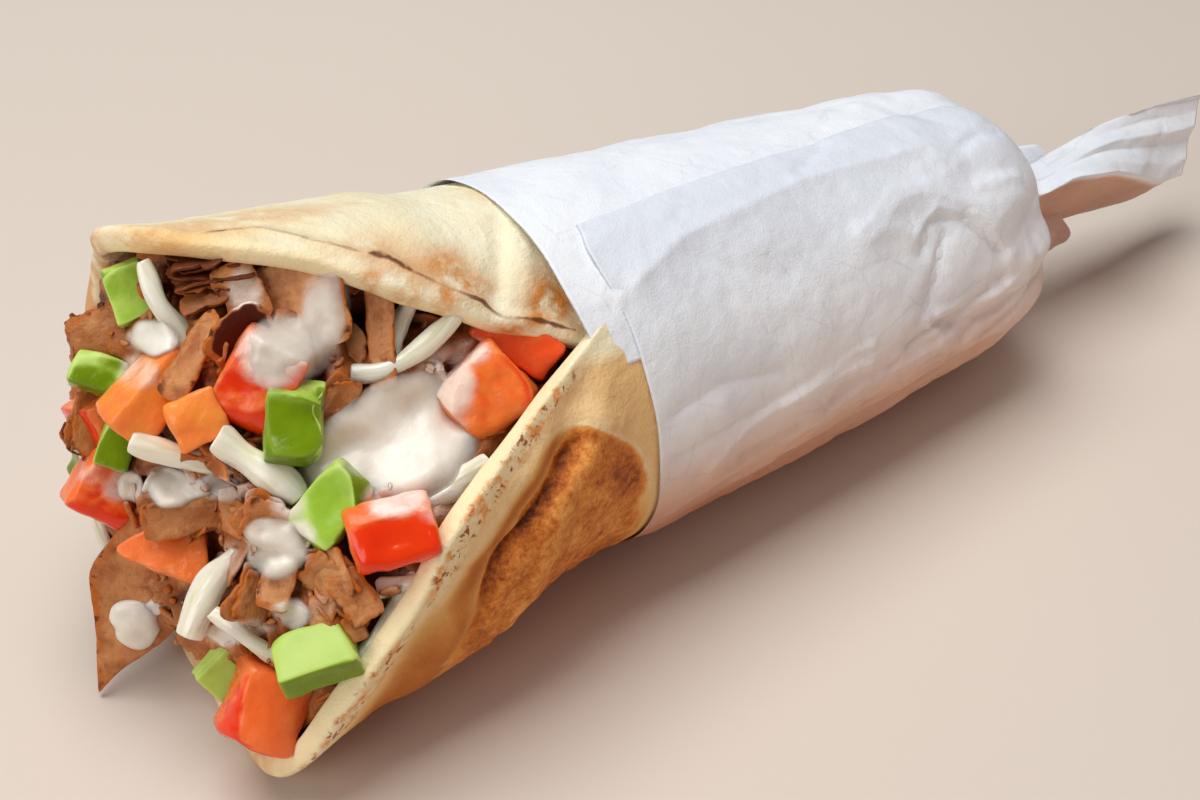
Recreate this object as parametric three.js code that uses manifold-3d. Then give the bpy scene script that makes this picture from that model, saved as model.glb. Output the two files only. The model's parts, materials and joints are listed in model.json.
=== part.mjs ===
// Doner kebab sandwich: a soft flatbread rolled round slices of roasted meat, with diced tomato, sweet pepper,
// onion strips and garlic sauce showing in its open end. White paper is wrapped round it and twisted to a tail.
//
// Millimetres, +Z up. The roll lies on its side along X, its open end towards -X and its paper tail towards +X.
// Places on the roll are given by x, measured from the paper's open edge, and by the angle round the roll,
// from 0 on the -Y side over the top (90) to the +Y side (180) and the underside (270).

import * as THREE from "three";
import { mergeVertices } from "three/addons/utils/BufferGeometryUtils.js";
import Module from "manifold-3d";

const wasm = await Module();
wasm.setup();

// ---------------------------------------------------------------- driving dimensions

const EDGE_RADIUS = 38.5; // outside radius of the roll at the paper's open edge
const NARROWING = 0.085; // how much the radius shrinks for each millimetre towards the tail
const MOUTH_X = -75; // where the bread's top lip ends
const MOUTH_FLARE = 3; // extra radius of the bread at the mouth
const SETTLED = 0.97; // height of the roll's middle above the table, as a share of its radius
const SHOULDER_X = 92; // where the paper begins to close
const NECK_X = 117; // where the paper is gathered
const NECK_RADIUS = 9;
const ORIGIN = [43.57, 0.78]; // x and y of the middle of the part's box, moved to the part's origin

const BREAD = 4.6; // thickness of the flatbread
const BREAD_END_X = 95;
const LAP = 0.6; // room between the bread's two overlapping flaps
const PAPER = 0.5; // thickness of the paper
const GAP = 0.3; // room between neighbouring pieces
const PAPER_ROOM = 1.7; // depth of the bread's surface below the paper's outside
const GATHER_ROOM = 2.4; // the same again where the paper is gathered

const TAIL_LENGTH = 62;

// ---------------------------------------------------------------- small helpers

const DEG = Math.PI / 180;
const TURN = 2 * Math.PI;

function smooth(x) {
  const t = Math.min(1, Math.max(0, x));
  return t * t * (3 - 2 * t);
}

/** A bell of height 1 that falls off either side of 0. */
const bell = (x) => Math.exp(-x * x);

/** Steps from a to b, both included. */
function spread(a, b, count) {
  return Array.from({ length: count }, (_, i) => a + ((b - a) * i) / (count - 1));
}

/** The shortest way round from angle b to angle a, in degrees. */
function angleFrom(a, b) {
  return ((((a - b + 180) % 360) + 360) % 360) - 180;
}

/** A smooth curve through a table of [x, y] rows, with slopes taken from each row's neighbours. */
function through(table, x) {
  const last = table.length - 1;
  let i = 0;
  while (i < last - 1 && x > table[i + 1][0]) {
    i += 1;
  }
  const slope = (k) => {
    const a = table[Math.max(0, k - 1)];
    const b = table[Math.min(last, k + 1)];
    return (b[1] - a[1]) / (b[0] - a[0]);
  };
  const [x0, y0] = table[i];
  const [x1, y1] = table[i + 1];
  const h = x1 - x0;
  const t = Math.min(1, Math.max(0, (x - x0) / h));
  const rise = 3 * t * t - 2 * t * t * t;
  const out = t * (1 - t) * (1 - t) * h * slope(i);
  const into = t * t * (1 - t) * h * slope(i + 1);
  return y0 + (y1 - y0) * rise + out - into;
}

/** Slow uneven waves between about -1 and 1, the same every time for one seed. */
function waves(seed, u, v) {
  const one = Math.sin(1.7 * u + 2.3 * v + 1.9 * seed);
  const two = Math.sin(2.9 * u - 1.3 * v + 4.1 * seed);
  const three = Math.sin(-1.1 * u + 3.7 * v + 2.7 * seed);
  return (one + two + three) / 3;
}

// ---------------------------------------------------------------- solids from rings

/** A closed geometry from points and triangles, turned so that its faces point outwards. */
function closedGeometry(points, triangles) {
  let volume = 0;
  for (const [a, b, c] of triangles) {
    volume += points[a].dot(new THREE.Vector3().crossVectors(points[b], points[c]));
  }
  const index = triangles.flatMap(([a, b, c]) => (volume > 0 ? [a, b, c] : [a, c, b]));
  const geometry = new THREE.BufferGeometry();
  const xyz = points.flatMap((p) => [p.x, p.y, p.z]);
  geometry.setAttribute("position", new THREE.Float32BufferAttribute(xyz, 3));
  geometry.setIndex(index);
  return geometry;
}

/** Walls between rings of equally many points. */
function ringWalls(rings) {
  const n = rings[0].length;
  const triangles = [];
  for (let i = 0; i < rings.length - 1; i += 1) {
    for (let j = 0; j < n; j += 1) {
      const a = i * n + j;
      const b = i * n + ((j + 1) % n);
      triangles.push([a, b, b + n], [a, b + n, a + n]);
    }
  }
  return triangles;
}

/** Rings closed at both ends by a fan round each end ring's middle. */
function roundEnded(rings) {
  const n = rings[0].length;
  const points = rings.flat();
  const triangles = ringWalls(rings);
  const middle = (ring) => ring.reduce((sum, p) => sum.add(p), new THREE.Vector3()).divideScalar(n);
  const first = points.push(middle(rings[0])) - 1;
  const last = points.push(middle(rings[rings.length - 1])) - 1;
  const start = (rings.length - 1) * n;
  for (let j = 0; j < n; j += 1) {
    const k = (j + 1) % n;
    triangles.push([first, k, j], [last, start + j, start + k]);
  }
  return closedGeometry(points, triangles);
}

/** A sheet from ribs. A rib runs along one face of the sheet and back along the other. */
function sheet(ribs) {
  const n = ribs[0].length;
  const triangles = ringWalls(ribs);
  const start = (ribs.length - 1) * n;
  for (let j = 0; j < n / 2 - 1; j += 1) {
    const k = n - 1 - j;
    triangles.push([j, k, k - 1], [j, k - 1, j + 1]);
    triangles.push([start + j, start + k - 1, start + k], [start + j, start + j + 1, start + k - 1]);
  }
  return closedGeometry(ribs.flat(), triangles);
}

// ---------------------------------------------------------------- joining and cutting

function toSolid(geometry) {
  const bare = new THREE.BufferGeometry();
  bare.setAttribute("position", geometry.getAttribute("position"));
  bare.setIndex(geometry.getIndex());
  const merged = mergeVertices(bare, 1e-4);
  const vertProperties = new Float32Array(merged.getAttribute("position").array);
  const triVerts = new Uint32Array(merged.getIndex().array);
  return new wasm.Manifold(new wasm.Mesh({ numProp: 3, vertProperties, triVerts }));
}

function toGeometry(solid) {
  const { vertProperties, triVerts } = solid.getMesh();
  const geometry = new THREE.BufferGeometry();
  geometry.setAttribute("position", new THREE.BufferAttribute(new Float32Array(vertProperties), 3));
  geometry.setIndex(new THREE.BufferAttribute(new Uint32Array(triVerts), 1));
  return geometry;
}

function boxesMeet(a, b) {
  const p = a.boundingBox();
  const q = b.boundingBox();
  return [0, 1, 2].every((k) => p.min[k] < q.max[k] && q.min[k] < p.max[k]);
}

/** What is left of a solid when its neighbours are cut out of it: its largest body. */
function cutClear(solid, neighbours) {
  let left = solid;
  for (const neighbour of neighbours) {
    if (boxesMeet(left, neighbour)) {
      left = left.subtract(neighbour);
    }
  }
  const bodies = left.decompose();
  return bodies.reduce((best, body) => (body.volume() > best.volume() ? body : best));
}

// ---------------------------------------------------------------- the roll

/** Outside radius of the roll at x. */
function rollRadius(x) {
  const mouth = Math.min(x, 0) / MOUTH_X;
  return EDGE_RADIUS - NARROWING * x + MOUTH_FLARE * mouth * mouth;
}

/** Height of the roll's middle at x. */
const middleHeight = (x) => SETTLED * rollRadius(Math.min(x, SHOULDER_X));

/** A point at a radius and angle round the roll, kept above the height of what it lies on. */
function rollPoint(x, angle, radius, floor) {
  const y = -radius * Math.cos(angle * DEG);
  const z = middleHeight(x) + radius * Math.sin(angle * DEG);
  return new THREE.Vector3(x, y, Math.max(z, floor));
}

// ---------------------------------------------------------------- flatbread

const INNER_EDGE = 25; // angle where the bread's inner flap ends
const OUTER_EDGE = 420; // angle where its outer flap ends, a whole turn and 35 degrees on
const BREAD_RIBS = 43;

// x of the bread's lip at angles round the roll: from the slit at the front, over the top lip to the open end,
// round the underside, where the bread comes to a corner, and back along the lower flap to the slit
const LIP = [
  [INNER_EDGE, 10], [43.6, -8.4], [67.8, -32.4], [87.6, -49], [102, -64], [114, -71], [134, -72], [152, -70],
  [171.5, -71], [197, -73.5], [260, -78], [290, -79.5], [310, -80], [330, -72], [351.6, -57], [372, -44.8],
  [385.7, -29.7], [403.6, -8.4], [OUTER_EDGE, 10],
];
const CORNER = { angle: 313, width: 24, pull: 6.5 }; // the corner that is drawn outwards
const TOP_SAG = 3; // how far the top lip sags
const BLISTER = { x: -17.6, angle: 25.5, lean: 0.9, height: 2.2, groove: 1.3 };
const CREASE = { x: -16.6, angle: 67.8, slope: 2.5, puff: 1.5 };

/** How far the bread stands proud of the even roll: its drawn corner, sag, blister and crease. */
function breadRelief(x, angle) {
  const open = Math.min(x, 0) / MOUTH_X;
  const top = Math.max(0, Math.sin(angle * DEG));
  const corner = CORNER.pull * bell(angleFrom(angle, CORNER.angle) / CORNER.width);
  const drawn = (corner - TOP_SAG * top) * open * open;
  // the toasted blister lies beyond a groove that runs slantwise across the lower flap
  const around = rollRadius(x) * DEG * (angle - 360 - BLISTER.angle);
  const across = (BLISTER.lean * (x - BLISTER.x) - around) / Math.hypot(1, BLISTER.lean);
  const onFlap = smooth((angle - 300) / 25) * smooth((-5 - x) / 12) * smooth((x + 62) / 12);
  const blister = BLISTER.height * smooth((across - 1) / 7) * smooth((30 - across) / 12);
  const groove = BLISTER.groove * bell(across / 2.6);
  const flap = (blister - groove) * onFlap;
  const pastCrease = x - CREASE.x - (angle - CREASE.angle) / CREASE.slope;
  const onTop = bell((angle - 72) / 26) * smooth((-7 - x) / 4);
  const puffed = CREASE.puff * smooth(pastCrease / 3) * bell(pastCrease / 12);
  return drawn + flap + puffed * onTop;
}

/** Depth by which the inner flap dives under the outer one, on the near side of the roll. */
const tuck = (angle) => (BREAD + LAP) * smooth((100 - angle) / 50);

/** Room that the bread leaves for the paper, as depth below the roll's outside. */
const paperRoom = (x) => PAPER_ROOM * smooth((x + 28) / 11) + GATHER_ROOM * smooth((x - 68) / 16);

/** A point in the bread, at a depth below its outer face. */
function breadPoint(x, angle, depth) {
  const surface = rollRadius(x) + breadRelief(x, angle) - tuck(angle) - paperRoom(x);
  const floor = depth + (PAPER + GAP + 0.2) * smooth((x + 30) / 18);
  return rollPoint(x, angle, surface - depth, floor);
}

/** The bread as ribs along X, each from its lip to the tail end and back inside; room makes it thicker. */
function breadGeometry(room) {
  const shares = [0, 0.013, 0.07, 0.14, 0.22, 0.31, 0.41, 0.5, 1];
  const ribs = spread(INNER_EDGE - room, OUTER_EDGE + room, BREAD_RIBS).map((angle) => {
    const lip = through(LIP, angle) - room;
    const xs = shares.map((share) => lip + (BREAD_END_X + room - lip) * share);
    const outer = xs.map((x, i) => breadPoint(x, angle, (i === 0 ? 0.22 * BREAD : 0) - room));
    const inner = xs.map((x, i) => breadPoint(x, angle, (i === 0 ? 0.78 : 1) * BREAD + room));
    return [...outer, ...inner.reverse()];
  });
  return sheet(ribs);
}

// ---------------------------------------------------------------- paper wrapper

const SHEET_TURN = 402; // the paper's length round the roll, in degrees
const PAPER_RIBS = 44;
const OUTER_END = { angle: 75.7, slant: 12.3 }; // where the outer end lies, and how far it slants over 70 mm
const LAYER = PAPER + GAP; // depth of the paper's inner layer below its outer one
const FOLDS = { count: 9, depth: 1.8 }; // gathers where the paper closes

/** x and radius of the paper's outline: 0 to 1 from its edge to the shoulder, 1 to 2 round to the neck. */
function paperOutline(along, edge) {
  if (along <= 1) {
    const x = edge + (SHOULDER_X - edge) * along;
    return [x, rollRadius(x)];
  }
  const turn = (along - 1) * (Math.PI / 2);
  const x = SHOULDER_X + (NECK_X - SHOULDER_X) * Math.sin(turn);
  return [x, NECK_RADIUS + (rollRadius(SHOULDER_X) - NECK_RADIUS) * Math.cos(turn)];
}

/** A point of the paper: way round from its outer end in degrees, way along, and depth below its outside. */
function paperPoint(around, along, depth) {
  const corner = 1.4 * smooth(1 - around / 10);
  const edge = corner - 8 * smooth((around - 190) / 120);
  const [x0, r0] = paperOutline(Math.min(along, 1.999), edge);
  const [x1, r1] = paperOutline(Math.min(along, 1.999) + 0.001, edge);
  const length = Math.hypot(x1 - x0, r1 - r0);
  const layer = LAYER * smooth((around - 300) / 45) + depth;
  const slant = OUTER_END.slant * Math.min(1.4, Math.max(0, x0 / 70)) * Math.max(0, 1 - around / 60);
  const angle = OUTER_END.angle + slant - around;
  const closing = smooth((along - 0.85) / 0.5);
  const gathers = 0.5 + 0.5 * Math.cos(FOLDS.count * angle * DEG + 2 * Math.sin(3 * angle * DEG));
  const x = x0 + ((r1 - r0) / length) * layer;
  const radius = r0 - ((x1 - x0) / length) * layer - FOLDS.depth * closing * gathers;
  return rollPoint(x, angle, radius, depth);
}

function paperSheet() {
  const alongs = [0, 0.04, 0.35, 0.7, 1, 1.22, 1.44, 1.66, 1.97];
  const ribs = spread(0, SHEET_TURN, PAPER_RIBS).map((around) => {
    const outer = alongs.map((along) => paperPoint(around, along, 0));
    const inner = alongs.map((along) => paperPoint(around, along, PAPER));
    return [...outer, ...inner.reverse()];
  });
  return sheet(ribs);
}

// the twisted tail by the share of its length: its edges' heights over the neck's middle, and half its depth
const TAIL_TOP = [[0, 11], [0.07, 9.4], [0.2, 3.6], [0.34, 4.6], [0.5, 6], [0.8, 4.4], [1, 2.2]];
const TAIL_UNDER = [[0, -11], [0.07, -11], [0.2, -13], [0.36, -15.8], [0.6, -18], [0.85, -20.4], [1, -18.4]];
const TAIL_DEEP = [[0, 11], [0.07, 10], [0.2, 6.2], [0.45, 5.5], [1, 2]];
const TAIL_START = NECK_X - 4;
const TAIL_RAKE = 4; // how far the upper edge reaches beyond the middle at the tail's end

/** The twisted tail: a pinched neck that opens to a flat, folded fan with a ridge along its near side. */
function paperTail() {
  const corners = 12;
  const rings = spread(0, 1, 9).map((t) => {
    const top = through(TAIL_TOP, t);
    const under = through(TAIL_UNDER, t);
    const deep = through(TAIL_DEEP, t);
    return Array.from({ length: corners }, (_, k) => {
      const angle = (TURN * k) / corners;
      const fold = 1 + 0.22 * smooth(t / 0.4) * (k % 2 === 0 ? 1 : -1);
      const x = TAIL_START + (NECK_X + TAIL_LENGTH - TAIL_START) * t + TAIL_RAKE * t * Math.sin(angle);
      const z = middleHeight(NECK_X) + (top + under + (top - under) * Math.sin(angle)) / 2;
      return new THREE.Vector3(x, -deep * fold * Math.cos(angle), z);
    });
  });
  return roundEnded(rings);
}

function paperGeometry() {
  const joined = toSolid(paperSheet()).add(toSolid(paperTail()));
  return toGeometry(joined);
}

// ---------------------------------------------------------------- the two faces of the open end

/** A plane that pieces are placed on by their way right and up, and let down from along out. */
function faceFrame(middle, turn, lift) {
  const right = new THREE.Vector3(Math.cos(turn * DEG), -Math.sin(turn * DEG), 0);
  const flat = new THREE.Vector3(-Math.sin(turn * DEG), -Math.cos(turn * DEG), 0);
  const out = flat.multiplyScalar(Math.cos(lift * DEG)).setZ(Math.sin(lift * DEG));
  return { middle, right, up: new THREE.Vector3().crossVectors(out, right), out };
}

// the open face, through the slit, the top lip and the lower corner, and the end that looks towards -X
const FACE = faceFrame(new THREE.Vector3(-55.5, -18.4, 49.3), 25.5, 35);
const END = faceFrame(new THREE.Vector3(-70, 0, 46), 90, 0);

function onFace(face, right, up, out = 0) {
  const point = face.middle.clone().addScaledVector(face.right, right);
  return point.addScaledVector(face.up, up).addScaledVector(face.out, out);
}

// ---------------------------------------------------------------- the filling's surface

const MEAT_ROOM = BREAD + 1.2; // depth of the meat's side below the bread's outside
const MEAT_END_X = 92;
const AROUND = 36;
const MIDDLE = new THREE.Vector3(-64, -8, 46); // middle of the open end, before the filling bulges out of it
const BULGE = new THREE.Vector3(-7, -7, 3.5);
const SPILL = 13; // how far the filling spills out of the open end
const CRAG = 1.6; // height of the filling's lumps

/** Depth of the meat's side at an angle: it follows the inner flap, and slopes up to the outer one. */
function meatTuck(angle) {
  const slope = smooth((angle + 12) / 34);
  return angle > 180 ? (BREAD + LAP) * smooth((angle - 348) / 34) : tuck(Math.max(angle, INNER_EDGE)) * slope;
}

/** A point on the meat's side, just inside the bread. */
function meatSide(x, angle) {
  const relief = breadRelief(x, angle < INNER_EDGE ? angle + 360 : angle);
  const radius = rollRadius(x) + relief - meatTuck(angle) - paperRoom(x) - MEAT_ROOM;
  return rollPoint(x, angle, radius, MEAT_ROOM + 0.4 + (PAPER + GAP) * smooth((x + 30) / 18));
}

/** x where the filling's surface meets the bread, a little inside its lip. */
function fillingEdge(angle) {
  const lip = through(LIP, angle < 34 ? angle + 360 : angle);
  const under = 9 * bell((angle - 85) / 30);
  return lip + 4 + under;
}

/** A point of the filling's surface: share 1 at the bread, 0 in the middle of the open end. */
function fillingPoint(angle, share) {
  const edge = meatSide(fillingEdge(angle), angle);
  const back = smooth((-edge.clone().sub(MIDDLE).dot(FACE.out) + 2) / 30);
  const point = MIDDLE.clone().lerp(edge, share);
  const inside = 1 - share * share;
  point.addScaledVector(BULGE, inside);
  point.x -= SPILL * 4 * share * share * inside * back * (0.55 + 0.45 * Math.sin((angle - 100) * DEG));
  const lump = CRAG * waves(1, point.x / 5, (point.y + point.z) / 6) * smooth(4 * (1 - share));
  return point.addScaledVector(FACE.out, lump);
}

const capRings = [1, 0.92, 0.77, 0.59, 0.4, 0.2].map((share) =>
  Array.from({ length: AROUND }, (_, k) => fillingPoint((360 * k) / AROUND, share)),
);

/** Height of the filling's surface over a face, at a way right and up; beyond its edge, the edge's. */
function fillingHeight(face, right, up) {
  const start = onFace(face, right, up);
  const across = (p) => p.clone().sub(start).projectOnPlane(face.out).lengthSq();
  const nearest = capRings[0].reduce((best, p) => (across(p) < across(best) ? p : best));
  const ray = new THREE.Ray(onFace(face, right, up, 200), face.out.clone().negate());
  const middle = fillingPoint(0, 0);
  const hit = new THREE.Vector3();
  let height = -Infinity;
  const test = (a, b, c) => {
    if (ray.intersectTriangle(a, b, c, false, hit)) {
      height = Math.max(height, hit.clone().sub(face.middle).dot(face.out));
    }
  };
  capRings.forEach((ring, i) => {
    ring.forEach((p, k) => {
      const q = ring[(k + 1) % AROUND];
      const next = capRings[i + 1];
      if (next) {
        test(p, q, next[k]);
        test(q, next[(k + 1) % AROUND], next[k]);
      } else {
        test(p, q, middle);
      }
    });
  });
  return height > -Infinity ? height : nearest.clone().sub(face.middle).dot(face.out);
}

/** The bare filling: a plug inside the bread whose front is the filling's surface. */
function coreGeometry() {
  const side = [0.04, 0.45, 1].map((share) =>
    Array.from({ length: AROUND }, (_, k) => {
      const angle = (360 * k) / AROUND;
      const edge = fillingEdge(angle);
      return meatSide(edge + (MEAT_END_X - edge) * share, angle);
    }),
  );
  return roundEnded([...side.reverse(), ...capRings]);
}

// ---------------------------------------------------------------- pieces of the filling

/**
 * A point of one piece, which is a path of rounded sections.
 * at: way right, way up, and height of its middle over the filling's surface.
 * rest: where that surface is measured, for a piece that hangs out beyond the filling.
 * size: length, width, thickness. turn: angle of its length. pitch lifts its far end, and roll its far side.
 * curl bends it up at both ends and sweep sideways. taper narrows its far end and belly both ends.
 * square: 2 is round and 5 nearly square. ends: width left at its tips. rough: unevenness.
 */
function piecePoint(piece, t, angle, room) {
  const [length, width, thick] = piece.size;
  const { square = 4, ends = 0.8, taper = 0, belly = 0, curl = 0, sweep = 0, rough = 0.05, seed = 0 } = piece;
  const c = Math.cos(angle);
  const s = Math.sin(angle);
  const corner = (Math.abs(c) ** square + Math.abs(s) ** square) ** (-1 / square);
  const tip = 1 - (1 - ends) * Math.abs(t) ** 6;
  const uneven = 1 + rough * waves(seed, 3 * t, 1.5 * c) + 0.6 * rough * waves(seed + 5, 7 * t, 2 * s);
  let x = t * (length / 2 + room);
  let y = c * corner * ((width / 2) * tip * (1 - taper * t - belly * t * t) * uneven + room);
  let z = s * corner * ((thick / 2) * tip * uneven + room);
  if (curl) {
    const radius = length / (curl * DEG);
    [x, z] = [(radius - z) * Math.sin(x / radius), radius - (radius - z) * Math.cos(x / radius)];
  }
  if (sweep) {
    const radius = length / (sweep * DEG);
    [x, y] = [(radius - y) * Math.sin(x / radius), radius - (radius - y) * Math.cos(x / radius)];
  }
  return new THREE.Vector3(x, y, z);
}

/** The matrix that carries a piece from its own axes to its place on the filling. */
function piecePlace(piece) {
  const [right, up, lift] = piece.at;
  const { face = FACE, turn = 0, pitch = 0, roll = 0, rest = [right, up] } = piece;
  const spin = new THREE.Matrix4().makeRotationZ(turn * DEG);
  spin.multiply(new THREE.Matrix4().makeRotationY(-pitch * DEG));
  spin.multiply(new THREE.Matrix4().makeRotationX(roll * DEG));
  const place = new THREE.Matrix4().makeBasis(face.right, face.up, face.out).multiply(spin);
  return place.setPosition(onFace(face, right, up, fillingHeight(face, ...rest) + lift));
}

function pieceGeometry(piece, room = 0) {
  const { steps = [-1, -0.8, 0, 0.8, 1], corners = 8 } = piece;
  const rings = steps.map((t) =>
    Array.from({ length: corners }, (_, k) => piecePoint(piece, t, (TURN * (k + 0.5)) / corners, room)),
  );
  return roundEnded(rings).applyMatrix4(piecePlace(piece));
}

const STRIP_STEPS = [-1, -0.7, -0.35, 0, 0.35, 0.7, 1];
const SLICE_STEPS = [-1, -0.6, 0, 0.6, 1];
const strip = (piece) => ({ steps: STRIP_STEPS, corners: 6, square: 3, ends: 0.6, ...piece });
const slice = (piece) => ({ steps: SLICE_STEPS, corners: 4, square: 5, ends: 0.75, rough: 0.22, ...piece });

// diced tomato, from the upper left to the lower tip
const TOMATOES = [
  { at: [-28.2, 18.1, 2], size: [17, 9, 9], turn: 44, roll: 20, taper: 0.15 },
  { at: [-20.5, 13, 1.5], size: [9, 9, 9], turn: -72 },
  { at: [-9.9, 18.3, 2], size: [17, 12.5, 10], turn: 54, pitch: 12 },
  { at: [28.1, 11.7, 2.5], size: [14.5, 14, 12], turn: 38, square: 3 },
  { at: [34.6, 20, 0], size: [16, 8, 8], turn: -40 },
  { at: [9.3, -8.6, 3], size: [15, 12, 11], turn: 8, roll: -12, square: 3.6 },
  { at: [-38.6, 1, 1], size: [12, 12, 10], turn: -36, pitch: -14 },
  { at: [-29.7, -9.6, 4.5], size: [16, 8.5, 5.5], turn: 176, taper: 0.75, ends: 0.9, roll: 14 },
  { at: [-14.6, -37.4, 3], size: [14.5, 13.5, 11], turn: 62, roll: 10, square: 5 },
  { face: END, at: [-19, 1, -2.5], size: [15, 12, 9], turn: 30, roll: 10 },
];

// sweet pepper, cut in squares
const PEPPERS = [
  { at: [-30.2, 34.6, 3], size: [10.5, 7.5, 4], turn: -76, curl: 30 },
  { at: [-37, 21.2, 2], size: [9.5, 6.5, 5], turn: -24, roll: -20 },
  { at: [-35.4, 9.1, 2.5], size: [9.5, 6.5, 5], turn: 66, curl: 20 },
  { at: [-4.6, 11, 4.5], size: [14, 10.5, 6], turn: 80, pitch: -8, curl: 36 },
  { at: [-0.1, -3.2, 3], size: [14, 9.5, 5], turn: 46, roll: -16, curl: 20 },
  { at: [-5, -29, 4.5], size: [14, 10.5, 6.5], turn: 12, roll: -16, square: 5 },
  { at: [-21.4, -31.8, 1.5], size: [10, 7.5, 4.5], turn: 40, roll: 10 },
  { face: END, at: [-27, -15, 0], size: [12, 9, 5], turn: 60, curl: 24 },
];

// onion strips
const ONIONS = [
  strip({ at: [-24.4, 32, 3.5], size: [16.5, 4, 2.6], turn: -68, sweep: 12 }),
  strip({ at: [16.4, 19.4, 2.5], size: [22, 4.6, 2.6], turn: 24, sweep: 58 }),
  strip({ at: [14.6, 25, 0.5], size: [11, 4, 2.2], turn: 66, sweep: -14 }),
  strip({ at: [-23.7, 6.6, 3], size: [18.5, 4.6, 2.8], turn: -15, sweep: 20 }),
  strip({ at: [-11.2, 4.4, 3], size: [17, 6.6, 3.6], turn: -44, sweep: -12 }),
  strip({ at: [-21.6, -16, 4], size: [19, 4.8, 3], turn: 50, sweep: -26 }),
  strip({ at: [-17, -24.6, 3.4], size: [14, 3.4, 2.6], turn: -40, sweep: 16 }),
  strip({ at: [7.2, -23.4, 1.6], rest: [3, -21], size: [18, 4.2, 2.4], turn: 52, sweep: -16 }),
  strip({ at: [21.6, -2.6, 1], rest: [17, 0], size: [13, 4.4, 2.2], turn: 26, sweep: 14 }),
  strip({ at: [-26.6, 1, 2.4], size: [9, 5.4, 2.6], turn: -22, sweep: 20 }),
  strip({ at: [10.2, -17.8, 2], size: [9, 3.8, 2.4], turn: 8 }),
  strip({ face: END, at: [-14, -20, 1], size: [18, 4.4, 2.6], turn: -40, sweep: -30 }),
];

// the large pointed slice that hangs out of the open end
const HANGING = { size: [45, 20, 2.6], taper: 0.27, belly: 0.63, ends: 1, rough: 0.1 };

// slices of meat that stand out of the filling and are part of it
const SLICES = [
  slice({ at: [-15.5, 38.6, 1], rest: [-15, 33], size: [16, 12, 2.4], turn: -4, roll: -62, curl: 16 }),
  slice({ at: [-14.5, 35.4, 1.5], rest: [-15, 33], size: [18, 11, 2.4], turn: -2, roll: -55, curl: -14 }),
  slice({ at: [-10.5, 33.2, 1.5], size: [10, 8, 3.2], turn: -78, curl: 24 }),
  slice({ at: [-0.5, 31, 2.2], size: [14, 14, 2.6], turn: -86, roll: 18, curl: -20 }),
  slice({ at: [-18, 22.6, 3.4], size: [15, 9.5, 2.4], turn: 52, roll: -34, curl: 50 }),
  slice({ at: [-12.4, 26.2, 1], size: [13, 8, 2.2], turn: 46, roll: 58, curl: 40 }),
  slice({ at: [9.8, 22, 1], size: [18, 11, 2.6], turn: 86, roll: 72, curl: 10 }),
  slice({ at: [-36, 27.4, 2.5], size: [13, 10.5, 2.6], turn: 14, pitch: 16, curl: -20 }),
  slice({ at: [-39.6, 12.6, 1], size: [14, 9, 2.6], turn: 70, roll: 20 }),
  slice({ ...HANGING, at: [-37.4, -18.4, -12], rest: [-27, -5], turn: 250, pitch: -24, curl: 12 }),
  slice({ at: [-22.4, -3.4, 2.4], size: [21, 8, 2.6], turn: -2, roll: 10, curl: -16 }),
  slice({ at: [-9.4, -5.6, 2], size: [15, 8.5, 2.6], turn: -36, curl: 20 }),
  slice({ at: [-14.6, -17.4, 1.4], size: [11, 8, 2.8], turn: 58, roll: 30 }),
  slice({ at: [-1.8, -15.4, 2], size: [12, 8.5, 3], turn: -60, roll: 26, curl: 24 }),
  slice({ at: [1.6, -20.6, 2], size: [10, 8, 2.6], turn: -40, roll: -38, curl: -20 }),
  slice({ at: [1.4, 12, 1], size: [14, 7, 2.4], turn: 46, roll: 24 }),
  slice({ face: END, at: [-30, 6, -2], size: [20, 12, 2.6], turn: 80, roll: 16, curl: 16 }),
  slice({ face: END, at: [-24, 20, -2], size: [16, 11, 2.6], turn: -30, roll: -14, curl: -12 }),
  slice({ face: END, at: [-8, -9, -2], size: [18, 12, 2.6], turn: 24, pitch: 12, curl: 18 }),
];

// pools of garlic sauce, by the way round each: at, half length, half width, turn and thickness
const POOLS = [
  { at: [10.8, 5.4], reach: [15.5, 8.5], turn: 0, thick: 3.4 },
  { at: [-0.5, 25.5], reach: [10.5, 5.6], turn: 74, thick: 3 },
  { at: [-9.6, -10.6], reach: [6, 4.8], turn: 30, thick: 3.6 },
];

/** A pool of sauce that follows the filling's surface, thick in the middle and thin at its uneven edge. */
function poolGeometry(pool, seed, room = 0) {
  const corners = 12;
  const ring = (share, top) =>
    Array.from({ length: corners }, (_, k) => {
      const angle = (TURN * k) / corners;
      const uneven = 1 + 0.16 * waves(seed, 2.1 * angle, 0) + 0.08 * Math.sin(5 * angle);
      const along = share * (pool.reach[0] * uneven + room) * Math.cos(angle);
      const across = share * (pool.reach[1] * uneven + room) * Math.sin(angle);
      const right = pool.at[0] + along * Math.cos(pool.turn * DEG) - across * Math.sin(pool.turn * DEG);
      const up = pool.at[1] + along * Math.sin(pool.turn * DEG) + across * Math.cos(pool.turn * DEG);
      const over = top ? pool.thick * Math.sqrt(1 - 0.98 * share * share) + room : -1.6 - room;
      return onFace(FACE, right, up, fillingHeight(FACE, right, up) + over);
    });
  return roundEnded([ring(0.5, false), ring(0.95, false), ring(1, true), ring(0.7, true), ring(0.3, true)]);
}

// drops of sauce fused to the meat
const DROPS = [
  { at: [-35.6, -22, 10.4], size: [9.6, 7, 4], turn: 52, square: 2.2, ends: 0.5, rough: 0.1 },
  { at: [-29, 26.4, 1.2], size: [8, 6, 3], turn: -30, square: 2.2, ends: 0.5, rough: 0.1 },
  { at: [-24.6, -27.4, 1], size: [8, 4.6, 3], turn: -30, square: 2.2, ends: 0.5, rough: 0.1 },
];

// ---------------------------------------------------------------- materials

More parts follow.
